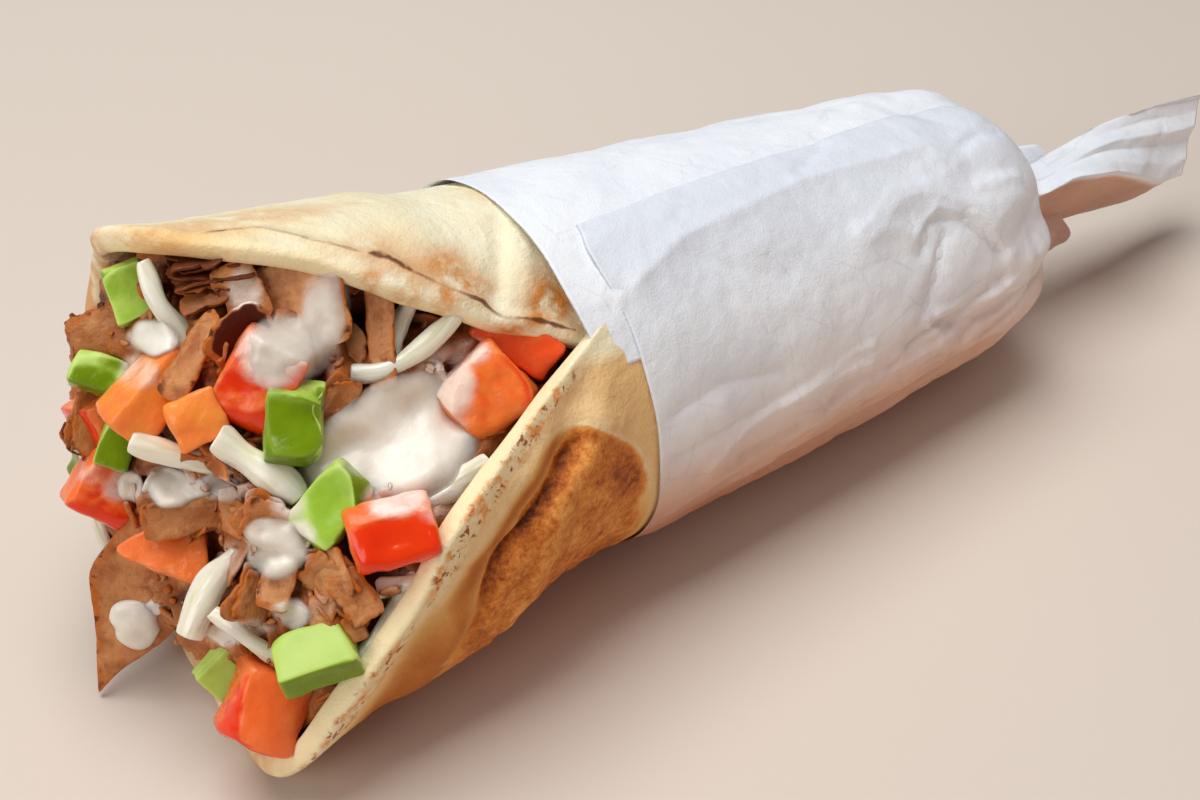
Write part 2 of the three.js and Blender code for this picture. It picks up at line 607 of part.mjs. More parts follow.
const material = (color, roughness) => new THREE.MeshStandardMaterial({ color, roughness, metalness: 0 });

const CRUST = material(0xe3cfa0, 0.75);
const WRAPPING = material(0xe4ebf0, 0.8);
const MEAT = material(0x9a5a32, 0.6);
const TOMATO = material(0xe2502a, 0.3);
const PEPPER = material(0x8fb02e, 0.35);
const ONION = material(0xe3dbc0, 0.35);
const SAUCE = material(0xe4ddc8, 0.25);

// ---------------------------------------------------------------- the sandwich

const sandwich = new THREE.Group();

function addPiece(name, geometry, finish) {
  const mesh = new THREE.Mesh(geometry, finish.clone());
  mesh.name = name;
  sandwich.add(mesh);
}

addPiece("flatbread", breadGeometry(0), CRUST);
addPiece("paper_wrapper", paperGeometry(), WRAPPING);

// Each topping is cut clear of the bread and of the toppings before it, and leaves room for itself.
const occupied = [toSolid(breadGeometry(GAP))];

function addRow(name, row, seedStart, finish) {
  row.forEach((entry, i) => {
    const piece = { ...entry, seed: seedStart + i };
    const solid = cutClear(toSolid(pieceGeometry(piece)), occupied);
    occupied.push(toSolid(pieceGeometry(piece, GAP)));
    addPiece(`${name}_${i + 1}`, toGeometry(solid), finish);
  });
}

addRow("pepper", PEPPERS, 10, PEPPER);
addRow("tomato", TOMATOES, 20, TOMATO);
addRow("onion", ONIONS, 40, ONION);

POOLS.forEach((pool, i) => {
  const solid = cutClear(toSolid(poolGeometry(pool, 60 + i)), occupied);
  occupied.push(toSolid(poolGeometry(pool, 60 + i, GAP)));
  addPiece(`sauce_${i + 1}`, toGeometry(solid), SAUCE);
});

let heap = toSolid(coreGeometry());
[...SLICES, ...DROPS].forEach((entry, i) => {
  heap = heap.add(toSolid(pieceGeometry({ ...entry, seed: 80 + i })));
});
addPiece("doner_meat", toGeometry(cutClear(heap, occupied)), MEAT);

sandwich.position.set(-ORIGIN[0], -ORIGIN[1], 0);
sandwich.updateMatrixWorld(true);

export default sandwich;
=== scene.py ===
# %% [markdown]
# # Doner kebab sandwich
#
# A soft flatbread is rolled round slices of roasted meat. Diced tomato, green pepper, onion strips and garlic
# sauce show in its open end, and white paper is wound round it and twisted to a tail.
#
# The imported model gives every piece its place. Here each piece gets its fine surface and its finish. First
# the frame is loaded.

# %% Load the frame
import json

import bpy
import numpy as np
from mathutils import Matrix

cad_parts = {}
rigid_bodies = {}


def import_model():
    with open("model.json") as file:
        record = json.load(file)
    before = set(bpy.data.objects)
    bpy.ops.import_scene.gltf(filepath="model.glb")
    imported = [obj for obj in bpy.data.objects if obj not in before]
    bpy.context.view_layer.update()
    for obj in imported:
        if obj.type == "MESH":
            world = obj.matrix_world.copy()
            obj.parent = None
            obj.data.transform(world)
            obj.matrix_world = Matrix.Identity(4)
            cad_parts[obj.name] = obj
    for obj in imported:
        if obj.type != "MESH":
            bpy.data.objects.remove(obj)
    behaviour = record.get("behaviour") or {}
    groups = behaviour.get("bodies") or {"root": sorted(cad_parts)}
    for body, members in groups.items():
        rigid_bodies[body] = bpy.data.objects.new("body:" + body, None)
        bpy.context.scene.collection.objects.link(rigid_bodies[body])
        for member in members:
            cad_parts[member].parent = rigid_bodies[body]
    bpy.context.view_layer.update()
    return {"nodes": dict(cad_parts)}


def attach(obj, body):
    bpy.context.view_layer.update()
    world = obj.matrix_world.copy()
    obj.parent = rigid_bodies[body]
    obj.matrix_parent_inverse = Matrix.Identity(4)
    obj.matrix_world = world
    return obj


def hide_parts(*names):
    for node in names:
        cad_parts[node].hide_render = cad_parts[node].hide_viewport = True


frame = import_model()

print("nodes in the frame:", len(frame["nodes"]))

# %% [markdown]
# ## The sizes that everything follows
#
# The same few sizes that drew the solids are used again, in millimetres. Places on the roll are given by x,
# measured from the paper's open edge, and by the angle round the roll: 0 on the near side, 90 on top, 180 at
# the back and 270 underneath.

# %% Driving sizes
MM = 0.001
DEG = np.pi / 180
ORIGIN = np.array([43.57, 0.78, 0.0])  # middle of the object's box, in the roll's own measure
EDGE_RADIUS = 38.5  # outside radius of the roll at the paper's open edge
NARROWING = 0.085  # how much the radius shrinks for each millimetre towards the tail
MOUTH_X, MOUTH_FLARE = -75.0, 3.0
SETTLED = 0.97  # height of the roll's middle above the table, as a share of its radius
SHOULDER_X, NECK_X, NECK_RADIUS = 92.0, 117.0, 9.0
BREAD, BREAD_END_X, LAP = 4.6, 95.0, 0.6
PAPER, GAP = 0.5, 0.3
PAPER_ROOM, GATHER_ROOM = 1.7, 2.4
TAIL_LENGTH = 62.0
SHEET_RADIUS, LIP_RADIUS = 34.0, 42.0  # where lines on the sheets and on the bread's lip are measured
print("roll:", 2 * EDGE_RADIUS, "mm thick at the paper's edge")

# %% [markdown]
# ## Small mathematical tools
#
# Soft things need soft transitions. A smooth step, a bell and a curve through a few rows do most of the work.
# Each works on whole arrays at once, so a surface of 100,000 points is one expression and no loop.

# %% Steps, bells and curves
def smooth(x):
    """3t^2 - 2t^3 of x held between 0 and 1: a step with soft ends."""
    t = np.clip(x, 0, 1)
    return t * t * (3 - 2 * t)


def bell(x):
    """e to the minus x squared: 1 in the middle and nothing far off."""
    return np.exp(-np.square(x))


def angle_from(a, b):
    """The shortest way round from angle b to angle a, in degrees."""
    return (a - b + 180) % 360 - 180


def through(table, x):
    """A cubic between each two rows of (x, y), with end slopes taken from the rows beside them."""
    tx, ty = np.array(table, float).T
    last = len(tx) - 1
    before, after = np.r_[0, :last], np.r_[1 : last + 1, last]
    slope = (ty[after] - ty[before]) / (tx[after] - tx[before])
    i = np.clip(np.searchsorted(tx, x) - 1, 0, last - 1)
    h = tx[i + 1] - tx[i]
    t = np.clip((x - tx[i]) / h, 0, 1)
    rise = 3 * t**2 - 2 * t**3
    ends = t * (1 - t) ** 2 * slope[i] - t**2 * (1 - t) * slope[i + 1]
    return ty[i] + (ty[i + 1] - ty[i]) * rise + ends * h


def waves(seed, u, v):
    """The mean of three crossing sine waves: slow unevenness, the same every time for one seed."""
    one = np.sin(1.7 * u + 2.3 * v + 1.9 * seed)
    two = np.sin(2.9 * u - 1.3 * v + 4.1 * seed)
    three = np.sin(-1.1 * u + 3.7 * v + 2.7 * seed)
    return (one + two + three) / 3


def random_creases(count, seed):
    """Short straight folds, mostly along the roll and more of them towards its gathered end."""
    rng = np.random.default_rng(seed)
    folds = []
    for _ in range(count):
        x, angle = 104 - 80 * rng.random() ** 1.5, 360 * rng.random()
        way, half = rng.normal(0, 0.6), rng.uniform(5, 13)
        ends = [(x - half * np.cos(way), angle - 1.7 * half * np.sin(way)),
                (x + half * np.cos(way), angle + 1.7 * half * np.sin(way))]
        folds.append((rng.uniform(0.25, 0.6) * rng.choice([-1, 1]), rng.uniform(2.0, 5.0), ends))
    return folds


def line_field(x, angle, rows, radius):
    """Distance in mm to a bent line on a sheet unrolled from that radius, and the rows' last number there."""
    corners = np.array(rows, float)
    spots = corners[:, :2] * [1, radius * DEG]
    q = np.stack([x, angle * radius * DEG], -1)
    best, strength = np.full(x.shape, 1e9), np.zeros(x.shape)
    for a, b, k, l in zip(spots[:-1], spots[1:], corners[:-1, -1], corners[1:, -1]):
        way = b - a
        t = np.clip((q - a) @ way / (way @ way), 0, 1)
        far = np.linalg.norm(q - a - t[..., None] * way, axis=-1)
        near = far < best
        best, strength = np.where(near, far, best), np.where(near, k + (l - k) * t, strength)
    return best, strength


def line_distance(x, angle, places):
    """The shortest distance in mm to a bent line on a sheet."""
    return line_field(x, angle, places, SHEET_RADIUS)[0]


# %% [markdown]
# Food is never even. Lumps, crags and torn edges come from a block of seeded random numbers, blended between
# its corners. Adding the same thing again at half the size and half the height gives finer and finer lumps.

# %% Random lumps
LATTICE = np.random.default_rng(7).random((32, 32, 32))


def grain(points, size, seed=0):
    """Random numbers on a lattice `size` mm wide, blended softly between its corners; from -1 to 1."""
    p = np.asarray(points) / size + 7.31 * seed
    low = np.floor(p).astype(int)
    f = smooth(p - low)
    total = 0
    for corner in np.ndindex(2, 2, 2):
        weight = np.prod(np.where(corner, f, 1 - f), axis=-1)
        i, j, k = np.moveaxis((low + corner) % 32, -1, 0)
        total = total + weight * LATTICE[i, j, k]
    return 2 * total - 1


def lumps(points, size, layers=3, seed=0):
    """Layers of grain, each half as wide and half as high as the one before."""
    return sum(grain(points, size / 2**k, seed + k) / 2**k for k in range(layers))


# %% [markdown]
# ## From arrays to meshes
#
# A mesh is a list of points and a list of faces. For a closed body the signed volume tells whether its faces
# point outwards, and if not, each face is read backwards. Masks such as "toast" or "skin" are stored with the
# points, for the materials to read.

# %% Mesh helpers
def grid_faces(rows, columns, wrap=True):
    """Four-cornered faces between the points of a grid, closed round its columns if wrap is true."""
    j = np.arange(columns if wrap else columns - 1)
    a = np.arange(rows - 1)[:, None] * columns + j
    b = np.arange(rows - 1)[:, None] * columns + (j + 1) % columns
    return np.stack([a, b, b + columns, a + columns], -1).reshape(-1, 4)


def fan_faces(middle, start, columns):
    """Triangles from one middle point to a ring of points."""
    j = np.arange(columns)
    return np.stack([np.full(columns, middle), start + (j + 1) % columns, start + j], -1)


def signed_volume(points, faces):
    """A sixth of the sum of the triple products of each face's triangles."""
    total = 0.0
    for f in faces:
        for k in range(1, f.shape[1] - 1):
            a, b, c = points[f[:, 0]], points[f[:, k]], points[f[:, k + 1]]
            total += np.einsum("ij,ij->", a, np.cross(b, c)) / 6
    return total


def point_normals(points, faces):
    """At each point, the sum of the normals of the faces that meet there, made one long."""
    total = np.zeros_like(points)
    for f in faces:
        across = np.cross(points[f[:, 2]] - points[f[:, 0]], points[f[:, -1]] - points[f[:, 1]])
        if f.shape[1] == 3:
            across = np.cross(points[f[:, 1]] - points[f[:, 0]], points[f[:, 2]] - points[f[:, 0]])
        for k in range(f.shape[1]):
            for axis in range(3):
                total[:, axis] += np.bincount(f[:, k], across[:, axis], len(points))
    return total / np.maximum(np.linalg.norm(total, axis=1, keepdims=True), 1e-12)


def turn_outwards(points, faces):
    """The same faces, read backwards if the body they close is inside out."""
    return faces if signed_volume(points, faces) > 0 else [f[:, ::-1] for f in faces]


def add_piece(name, points, faces, material, nodes, masks):
    """Makes a mesh object from points in the roll's millimetres, and hands it to the frame."""
    faces = turn_outwards(points, faces)
    mesh = bpy.data.meshes.new(name)
    mesh.vertices.add(len(points))
    mesh.vertices.foreach_set("co", ((points - ORIGIN) * MM).astype(np.float32).ravel())
    corners = np.concatenate([f.ravel() for f in faces])
    sizes = np.concatenate([np.full(len(f), f.shape[1]) for f in faces])
    mesh.loops.add(len(corners))
    mesh.loops.foreach_set("vertex_index", corners.astype(np.int32))
    mesh.polygons.add(len(sizes))
    mesh.polygons.foreach_set("loop_start", (np.cumsum(sizes) - sizes).astype(np.int32))
    mesh.polygons.foreach_set("use_smooth", np.ones(len(sizes), bool))
    mesh.update(calc_edges=True)
    for mask, values in masks.items():
        kind = "FLOAT_VECTOR" if values.ndim == 2 else "FLOAT"
        layer = mesh.attributes.new(mask, kind, "POINT")
        key = "vector" if values.ndim == 2 else "value"
        layer.data.foreach_set(key, values.astype(np.float32).ravel())
    mesh.materials.append(material)
    piece = bpy.data.objects.new(name, mesh)
    bpy.context.scene.collection.objects.link(piece)
    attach(piece, "root")
    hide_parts(*nodes)
    print(f"{name}: {int((sizes - 2).sum())} triangles")


def join_bodies(bodies):
    """Several (points, faces, masks) as one, with the faces' numbers moved on."""
    points, faces, masks = [], [], {}
    start = 0
    for body_points, body_faces, body_masks in bodies:
        faces += [f + start for f in turn_outwards(body_points, body_faces)]
        start += len(body_points)
        points.append(body_points)
        for name, values in body_masks.items():
            masks.setdefault(name, []).append(values)
    return np.concatenate(points), faces, {name: np.concatenate(v) for name, v in masks.items()}


# %% [markdown]
# ## Shader tools
#
# Every finish is made of nodes. What a node gives is a value that can be added, subtracted and multiplied, so
# that a finish reads like a formula. Colours are written as they look on a screen and turned into the linear
# values that light works with.

# %% Node helpers
def colour(red, green, blue):
    """A screen colour from 0 to 255 as linear light."""
    c = np.array([red, green, blue]) / 255
    linear = np.where(c <= 0.04045, c / 12.92, ((c + 0.055) / 1.055) ** 2.4)
    return (*map(float, linear), 1.0)


class Value:
    """What a node gives. Adding, subtracting or multiplying values places one more node."""

    def __init__(self, socket):
        """Keeps the node's output, and the tree that it belongs to."""
        self.socket, self.tree = socket, socket.id_data

    def __add__(self, other):
        """This plus a value or a number."""
        return node(self.tree, "Math", 0, {0: self, 1: other}, operation="ADD")

    def __mul__(self, other):
        """This times a value or a number."""
        return node(self.tree, "Math", 0, {0: self, 1: other}, operation="MULTIPLY")

    def __sub__(self, other):
        """This less a value or a number."""
        return node(self.tree, "Math", 0, {0: self, 1: other}, operation="SUBTRACT")

    def __rsub__(self, number):
        """A number less this."""
        return node(self.tree, "Math", 0, {0: number, 1: self}, operation="SUBTRACT")

    __radd__, __rmul__ = __add__, __mul__


def feed(socket, value):
    """Gives a node's input a value, a number or a colour."""
    if isinstance(value, Value):
        value.tree.links.new(value.socket, socket)
    else:
        socket.default_value = value


def node(tree, kind, output, values=None, **settings):
    """A new shader node with its inputs fed, and the value of one of its outputs."""
    new = tree.nodes.new("ShaderNode" + kind)
    for name, setting in settings.items():
        setattr(new, name, setting)
    for key, value in (values or {}).items():
        feed(new.inputs[key], value)
    return Value(new.outputs[output])


def step(value, low, high):
    """0 below low, 1 above high, and a soft step between."""
    values = {"Value": value, "From Min": low, "From Max": high}
    return node(value.tree, "MapRange", 0, values, interpolation_type="SMOOTHSTEP")


def blend(share, a, b):
    """Colour a where the share is 0, and colour b where it is 1."""
    return node(share.tree, "Mix", 2, {0: share, 6: a, 7: b}, data_type="RGBA")


def noise(place, scale, detail=3.0, rough=0.5, bend=0.0):
    """Cloudy values round 0.5, with `scale` clouds to the metre."""
    values = {"Vector": place, "Scale": scale, "Detail": detail, "Roughness": rough, "Distortion": bend}
    return node(place.tree, "TexNoise", 0, values)


def ramp(value, stops):
    """Colours along a value, from a list of (place, colour)."""
    tints = node(value.tree, "ValToRGB", 0, {0: value})
    elements = tints.socket.node.color_ramp.elements
    while len(elements) < len(stops):
        elements.new(0.5)
    for element, (place, tint) in zip(elements, stops):
        element.position = place
        element.color = tint
    return tints


def mask(tree, name):
    """A value stored with the mesh's points."""
    return node(tree, "Attribute", "Fac", attribute_name=name)


def stretched(place, along, across):
    """A place scaled so that what is drawn on it runs long in x and short in y and z."""
    return node(place.tree, "Mapping", 0, {"Vector": place, "Scale": (along, across, across)})


def new_material(name, **shader_values):
    """A material with the shader's own sockets set, its node tree, its shader and its Object coordinates."""
    material = bpy.data.materials.new(name)
    material.use_nodes = True
    tree = material.node_tree
    shader = tree.nodes["Principled BSDF"]
    for key, value in shader_values.items():
        feed(shader.inputs[key.replace("_", " ")], value)
    return material, tree, shader, node(tree, "TexCoord", "Object")


def finish(shader, tint, rough=None, height=None, depth=0.0003):
    """Links a material's colour, roughness and relief to its shader."""
    feed(shader.inputs["Base Color"], tint)
    if rough is not None:
        feed(shader.inputs["Roughness"], rough)
    if height is not None:
        feed(shader.inputs["Normal"], node(height.tree, "Bump", 0, {"Height": height, "Distance": depth}))


# %% [markdown]
# Three effects come back in several finishes, so each is a node group: a film of sauce that turns what it
# covers pale and smooth, cloudy patches between two colours, and a fine relief of two sizes.

# %% Shader groups shared by several finishes
def new_group(name, inputs, outputs):
    """An empty node group: its tree, the values of its named inputs, and its named output sockets."""
    tree = bpy.data.node_groups.new(name, "ShaderNodeTree")
    kinds = {float: "NodeSocketFloat", tuple: "NodeSocketColor", list: "NodeSocketVector"}
    for label, value in inputs.items():
        socket = tree.interface.new_socket(label, in_out="INPUT", socket_type=kinds[type(value)])
        if not isinstance(value, list):
            socket.default_value = value
    for label, kind in outputs.items():
        tree.interface.new_socket(label, in_out="OUTPUT", socket_type=kinds[kind])
    into = {socket.name: Value(socket) for socket in tree.nodes.new("NodeGroupInput").outputs if socket.name}
    return tree, into, tree.nodes.new("NodeGroupOutput").inputs


def use_group(tree, group, values):
    """Places a group in a material with its own values, and gives its outputs."""
    new = tree.nodes.new("ShaderNodeGroup")
    new.node_tree = group
    for key, value in values.items():
        feed(new.inputs[key], value)
    return [Value(socket) for socket in new.outputs]


def make_sauce_film():
    """Colour under a thin film of sauce: the film's edge is made uneven by noise, and it fades out softly."""
    inputs = {"Color": colour(128, 128, 128), "Roughness": 0.5, "Amount": 0.0, "Place": [0, 0, 0]}
    tree, into, out = new_group("sauce film", inputs, {"Color": tuple, "Roughness": float, "Height": float})
    uneven = noise(into["Place"], 420, 4)
    amount = into["Amount"] + (uneven - 0.5) * 0.35
    cover = step(amount, 0.28, 0.86)
    on = step(into["Amount"], 0.01, 0.12)
    cover = cover * on
    pale = blend(cover * 0.82, into["Color"], colour(242, 228, 216))
    feed(out["Color"], pale)
    wet = (0.14 - into["Roughness"]) * cover
    feed(out["Roughness"], into["Roughness"] + wet)
    feed(out["Height"], cover)
    return tree


def make_cloudy():
    """Two colours in soft patches, with noise of `Scale` patches to the metre cut between Low and High."""
    inputs = {"A": colour(200, 200, 200), "B": colour(90, 90, 90), "Scale": 100.0, "Low": 0.4, "High": 0.6,
              "Place": [0, 0, 0]}
    tree, into, out = new_group("cloudy", inputs, {"Color": tuple})
    share = step(noise(into["Place"], into["Scale"], 5, 0.55), into["Low"], into["High"])
    feed(out["Color"], blend(share, into["A"], into["B"]))
    return tree


def make_fine_relief():
    """Heights from coarse and fine noise, the fine one a third as high."""
    inputs = {"Coarse": 400.0, "Fine": 1500.0, "Place": [0, 0, 0]}
    tree, into, out = new_group("fine relief", inputs, {"Height": float})
    coarse = noise(into["Place"], into["Coarse"], 4)
    fine = noise(into["Place"], into["Fine"], 4)
    feed(out["Height"], coarse + fine * 0.33)
    return tree


SAUCE_FILM = make_sauce_film()
CLOUDY = make_cloudy()
FINE_RELIEF = make_fine_relief()


def under_sauce(place, tint, rough):
    """Colour, roughness and height under the film of sauce that the "film" mask tells of."""
    values = {"Color": tint, "Roughness": rough, "Amount": mask(place.tree, "film"), "Place": place}
    return use_group(place.tree, SAUCE_FILM, values)


def cloudy(place, a, b, scale, low, high):
    """Colours a and b in soft patches."""
    values = {"A": a, "B": b, "Scale": scale, "Low": low, "High": high, "Place": place}
    return use_group(place.tree, CLOUDY, values)[0]


def fine_relief(place, coarse, fine):
    """Heights from coarse and fine noise."""
    return use_group(place.tree, FINE_RELIEF, {"Coarse": coarse, "Fine": fine, "Place": place})[0]


print("shader groups:", [g.name for g in bpy.data.node_groups])

# %% [markdown]
# ## The roll
#
# Bread, paper and filling all follow one tapering roll, settled a little where it lies.

# %% The roll's formulas
def roll_radius(x):
    """A straight taper, with the square of the way to the mouth added as a flare."""
    mouth = np.minimum(x, 0) / MOUTH_X
    return EDGE_RADIUS - NARROWING * x + MOUTH_FLARE * mouth**2


def middle_height(x):
    """The roll's middle lies at a fixed share of its radius."""
    return SETTLED * roll_radius(np.minimum(x, SHOULDER_X))


def roll_point(x, angle, radius, floor=0.0):
    """A point on a circle round the roll's middle line, never lower than what it lies on."""
    x, angle, radius, floor = np.broadcast_arrays(x, angle, radius, floor)
    y = -radius * np.cos(angle * DEG)
    z = middle_height(x) + radius * np.sin(angle * DEG)
    return np.stack([x, y, np.maximum(z, floor)], -1)


print("height at the mouth:", round(float(middle_height(MOUTH_X) + roll_radius(MOUTH_X)), 1), "mm")

# %% [markdown]
# ## Flatbread
#
# The bread is a sheet about 4.6 mm thick, rolled a turn and a bit. Its lip runs from the slit at the front,
# over the top, round the back and underneath, and returns along the lower flap. It could be sculpted, but a
# function of x and angle keeps every fold where it belongs: a drawn corner, a sagging top, a blister beyond a
# groove, and a crease with a puff behind it.

# %% The bread's form
INNER_EDGE, OUTER_EDGE = 25.0, 420.0
LIP = [  # angle, and x of the lip there
    (INNER_EDGE, 10), (43.6, -8.4), (67.8, -32.4), (87.6, -49), (102, -64), (114, -71), (134, -72),
    (152, -70), (171.5, -71), (197, -73.5), (260, -78), (290, -79.5), (310, -80), (330, -72), (351.6, -57),
    (372, -44.8), (385.7, -29.7), (403.6, -8.4), (OUTER_EDGE, 10),
]
PUFF = 1.5  # height of the puff behind the crease


def blister_way(x, angle):
    """How far a place on the lower flap lies beyond the slanting groove, in mm."""
    around = roll_radius(x) * DEG * (angle - 360 - 25.5)
    return (0.9 * (x + 17.6) - around) / np.hypot(1, 0.9)


def crease_way(x, angle):
    """How far a place on top lies beyond the slanting crease, in mm."""
    return x + 16.6 - (angle - 67.8) / 2.5


def crease_part(x, angle):
    """1 where the crease runs and 0 off it."""
    return bell((angle - 72) / 26) * smooth((-7 - x) / 4)


def bread_relief(x, angle):
    """Corner, sag, blister, groove and puffed crease, each a product of smooth steps and bells."""
    way_open = (np.minimum(x, 0) / MOUTH_X) ** 2
    top = np.maximum(0, np.sin(angle * DEG))
    drawn = (6.5 * bell(angle_from(angle, 313) / 24) - 3 * top) * way_open
    across = blister_way(x, angle)
    on_flap = smooth((angle - 300) / 25) * smooth((-5 - x) / 12) * smooth((x + 62) / 12)
    flap = (2.2 * smooth((across - 1) / 7) * smooth((30 - across) / 12) - 1.3 * bell(across / 2.6)) * on_flap
    past = crease_way(x, angle)
    return drawn + flap + PUFF * smooth(past / 3) * bell(past / 12) * crease_part(x, angle)


def tuck(angle):
    """Depth by which the inner flap dives under the outer one."""
    return (BREAD + LAP) * smooth((100 - angle) / 50)


def paper_room(x):
    """Depth of the bread's surface below the paper's outside."""
    return PAPER_ROOM * smooth((x + 28) / 11) + GATHER_ROOM * smooth((x - 68) / 16)


def bread_surface(x, angle):
    """Radius of the bread's outer face."""
    return roll_radius(x) + bread_relief(x, angle) - tuck(angle) - paper_room(x)


# %% [markdown]
# Where the bread was toasted is a mask too. The lower flap's blister is richly browned, a thin dark line runs
# along the top lip's outer corner, and the back has the loose patches that a hot plate leaves.

# %% The bread's toasted places
# angle, and x of the browned patch's two edges
TOAST_NEAR = [(-60, -50), (-30, -48), (-17, -43.5), (-2, -38), (6, -31.5), (14, -24.5), (24.5, -16)]
TOAST_FAR = [(-60, 0), (-18, -3), (3, -3.3), (15, -8), (24.5, -16)]
GOLDEN = [  # places on the upper flap: x, angle, half length, half turn, strength
    (-36, 84, 7, 5, 0.5), (-30, 76, 6, 5, 0.6), (-24, 71, 5, 4, 0.5), (-8.5, 60, 3.5, 9, 0.9),
    (-7, 100, 3, 10, 0.3), (-72, 106, 8, 10, 0.6), (-55, 110, 12, 8, 0.45), (-40, 106, 10, 6, 0.3),
    (-24, 77, 4, 5, 0.6), (-22, 68, 4, 3, 0.8), (-35, 70, 2.2, 3, 1), (-28.5, 66.5, 2.2, 3, 1),
    (-17.8, 54, 5, 2.5, 1.2), (-10.6, 58, 4.5, 5, 1), (-40, 77, 3, 2, 0.8),
]
WARM = [(-70, 106, 12, 10, 0.8), (-58, 100, 12, 7, 0.5), (-76, 84, 10, 14, 0.8), (-45, 88, 14, 5, 0.3),
        (-80, 230, 8, 60, 0.4)]
# angle, and how far back the rim's face reaches
LINE_BACK = [(40, 2), (49, 5), (58, 3.6), (64, 5.2), (78, 7), (94, 9), (113, 1.5)]
# angle, and how much of the rim is specked brown
CHARRED = [(-60, 0.2), (-26, 1), (-8, 0.3), (8, 1), (20, 1), (33, 0.6), (40, 0.2)]
DARK_LINE = [  # along the top lip's outer corner: x, angle, strength
    (-61, 102, 0.3), (-57.5, 102, 0.8), (-51, 100, 0.3), (-45, 91, 0.6), (-38, 83, 0.5), (-35.5, 82, 2.2),
    (-32, 75.5, 0.9), (-27.5, 69, 0.1), (-22, 64, 1.2), (-19.5, 57.5, 0.3), (-13.5, 54.5, 1.2),
    (-7.5, 48, 0.9),
]
# angle, and how far the groove and the ridge lie beyond the patch's near curve
GROOVE_PAST = [(-60, 1.5), (-1, 1.6), (4, 3.3), (14, 3.1), (24, 1.6)]
RIDGE_PAST = [(-60, 12), (0, 12), (8, 7.2), (13, 6.6), (24, 5.4)]
# x and angle of the patch's raised corner
PATCH_LIP = [(-28, 16), (-21, 24), (-15.5, 26), (-8, 19)]


def toasted(x, angle, points):
    """The flap's patch between two curves, its browned surroundings, warm places, and golden spots."""
    below = angle - 360
    wander = 1.3 * lumps(points, 7, 3, 3)
    near, far = through(TOAST_NEAR, below) + 0.7 * wander, through(TOAST_FAR, below) + wander
    ends = smooth((25.5 - below) / 2.5) * smooth((below + 88) / 25)
    soft = 3 + 7 * smooth((-2 - below) / 16)
    patch = smooth((x - near + 0.45 * soft) / soft) * smooth((far - x + 1.5) / 4) * ends
    halo = 0.95 * bell((x - near + 2.6) / 4) * smooth((26 - below) / 6) * ends
    low = smooth((4 - below) / 30) * smooth((below + 130) / 30) * smooth((x - through(LIP, angle) - 3) / 13)
    brown = np.maximum(halo, low * smooth((3 - x) / 8))
    spots = sum(k * bell((x - u) / a) * bell((angle - v) / b) for u, v, a, b, k in GOLDEN)
    spots = spots * smooth((angle - 38) / 6)
    warm = sum(k * bell((x - u) / a) * bell((angle - v) / b) for u, v, a, b, k in WARM)
    loose = (smooth((lumps(points, 26, 2, 5) - 0.05) / 0.5) * smooth((angle - 118) / 14)
             * smooth((318 - angle) / 20))
    return patch, brown, np.clip(warm, 0, 1), spots + 0.7 * loose


# %% Build the bread
BREAD_RIBS = 412
# points on a rib: along its outer front, behind that, round the lip and along the inner front
DENSE, SPARSE, ROUND, INSIDE = 128, 7, 22, 44
RIM = 1.7  # how far behind the lip its rounding begins


def bread_profile(angle):
    """Along one rib, from the tail end over the outer face to the lip and back inside: x, depth and lip."""
    lip = through(LIP, angle)
    lip = lip + 0.6 * waves(3, angle / 9, 0) * smooth((angle - 40) / 20) * smooth((410 - angle) / 20)
    dense_end = np.maximum(4.0, lip + 4)
    on_top = smooth((angle - 40) / 5) * smooth((118 - angle) / 12)
    rim = RIM + on_top * (0.92 * through(LINE_BACK, np.clip(angle, 40, 113)) - RIM)
    out_x = lip + rim + (dense_end - lip - rim) * np.linspace(0, 1, DENSE)[:, None] ** 1.15
    far_x = dense_end + (BREAD_END_X - dense_end) * np.linspace(0, 1, SPARSE + 1)[1:, None]
    turn = np.linspace(0, np.pi, ROUND + 2)[1:-1, None]
    power = 3.0 - 0.7 * smooth((angle - 84) / 20) * smooth((335 - angle) / 20) - 0.5 * on_top
    c, s = squared(turn + np.pi / 2, power)
    lip_x = lip + np.where(s > 0, rim, RIM) * (1 + c)
    lip_depth = BREAD / 2 - BREAD / 2 * s
    inner_x = lip + RIM + (dense_end - lip - RIM) * np.linspace(0, 1, INSIDE)[:, None] ** 1.5
    x = np.concatenate([far_x[::-1], out_x[::-1], lip_x, inner_x, far_x])
    zero, full = np.zeros_like(out_x), np.full_like(inner_x, BREAD)
    depth = np.concatenate([0 * far_x, zero, lip_depth + 0 * lip, full, 0 * far_x + BREAD])
    return x, depth, lip


def squared(angle, power):
    """Cosine and sine pushed out from the circle towards a square: the higher the power, the squarer."""
    c, s = np.cos(angle), np.sin(angle)
    out = (np.abs(c) ** power + np.abs(s) ** power) ** (-1 / power)
    return c * out, s * out


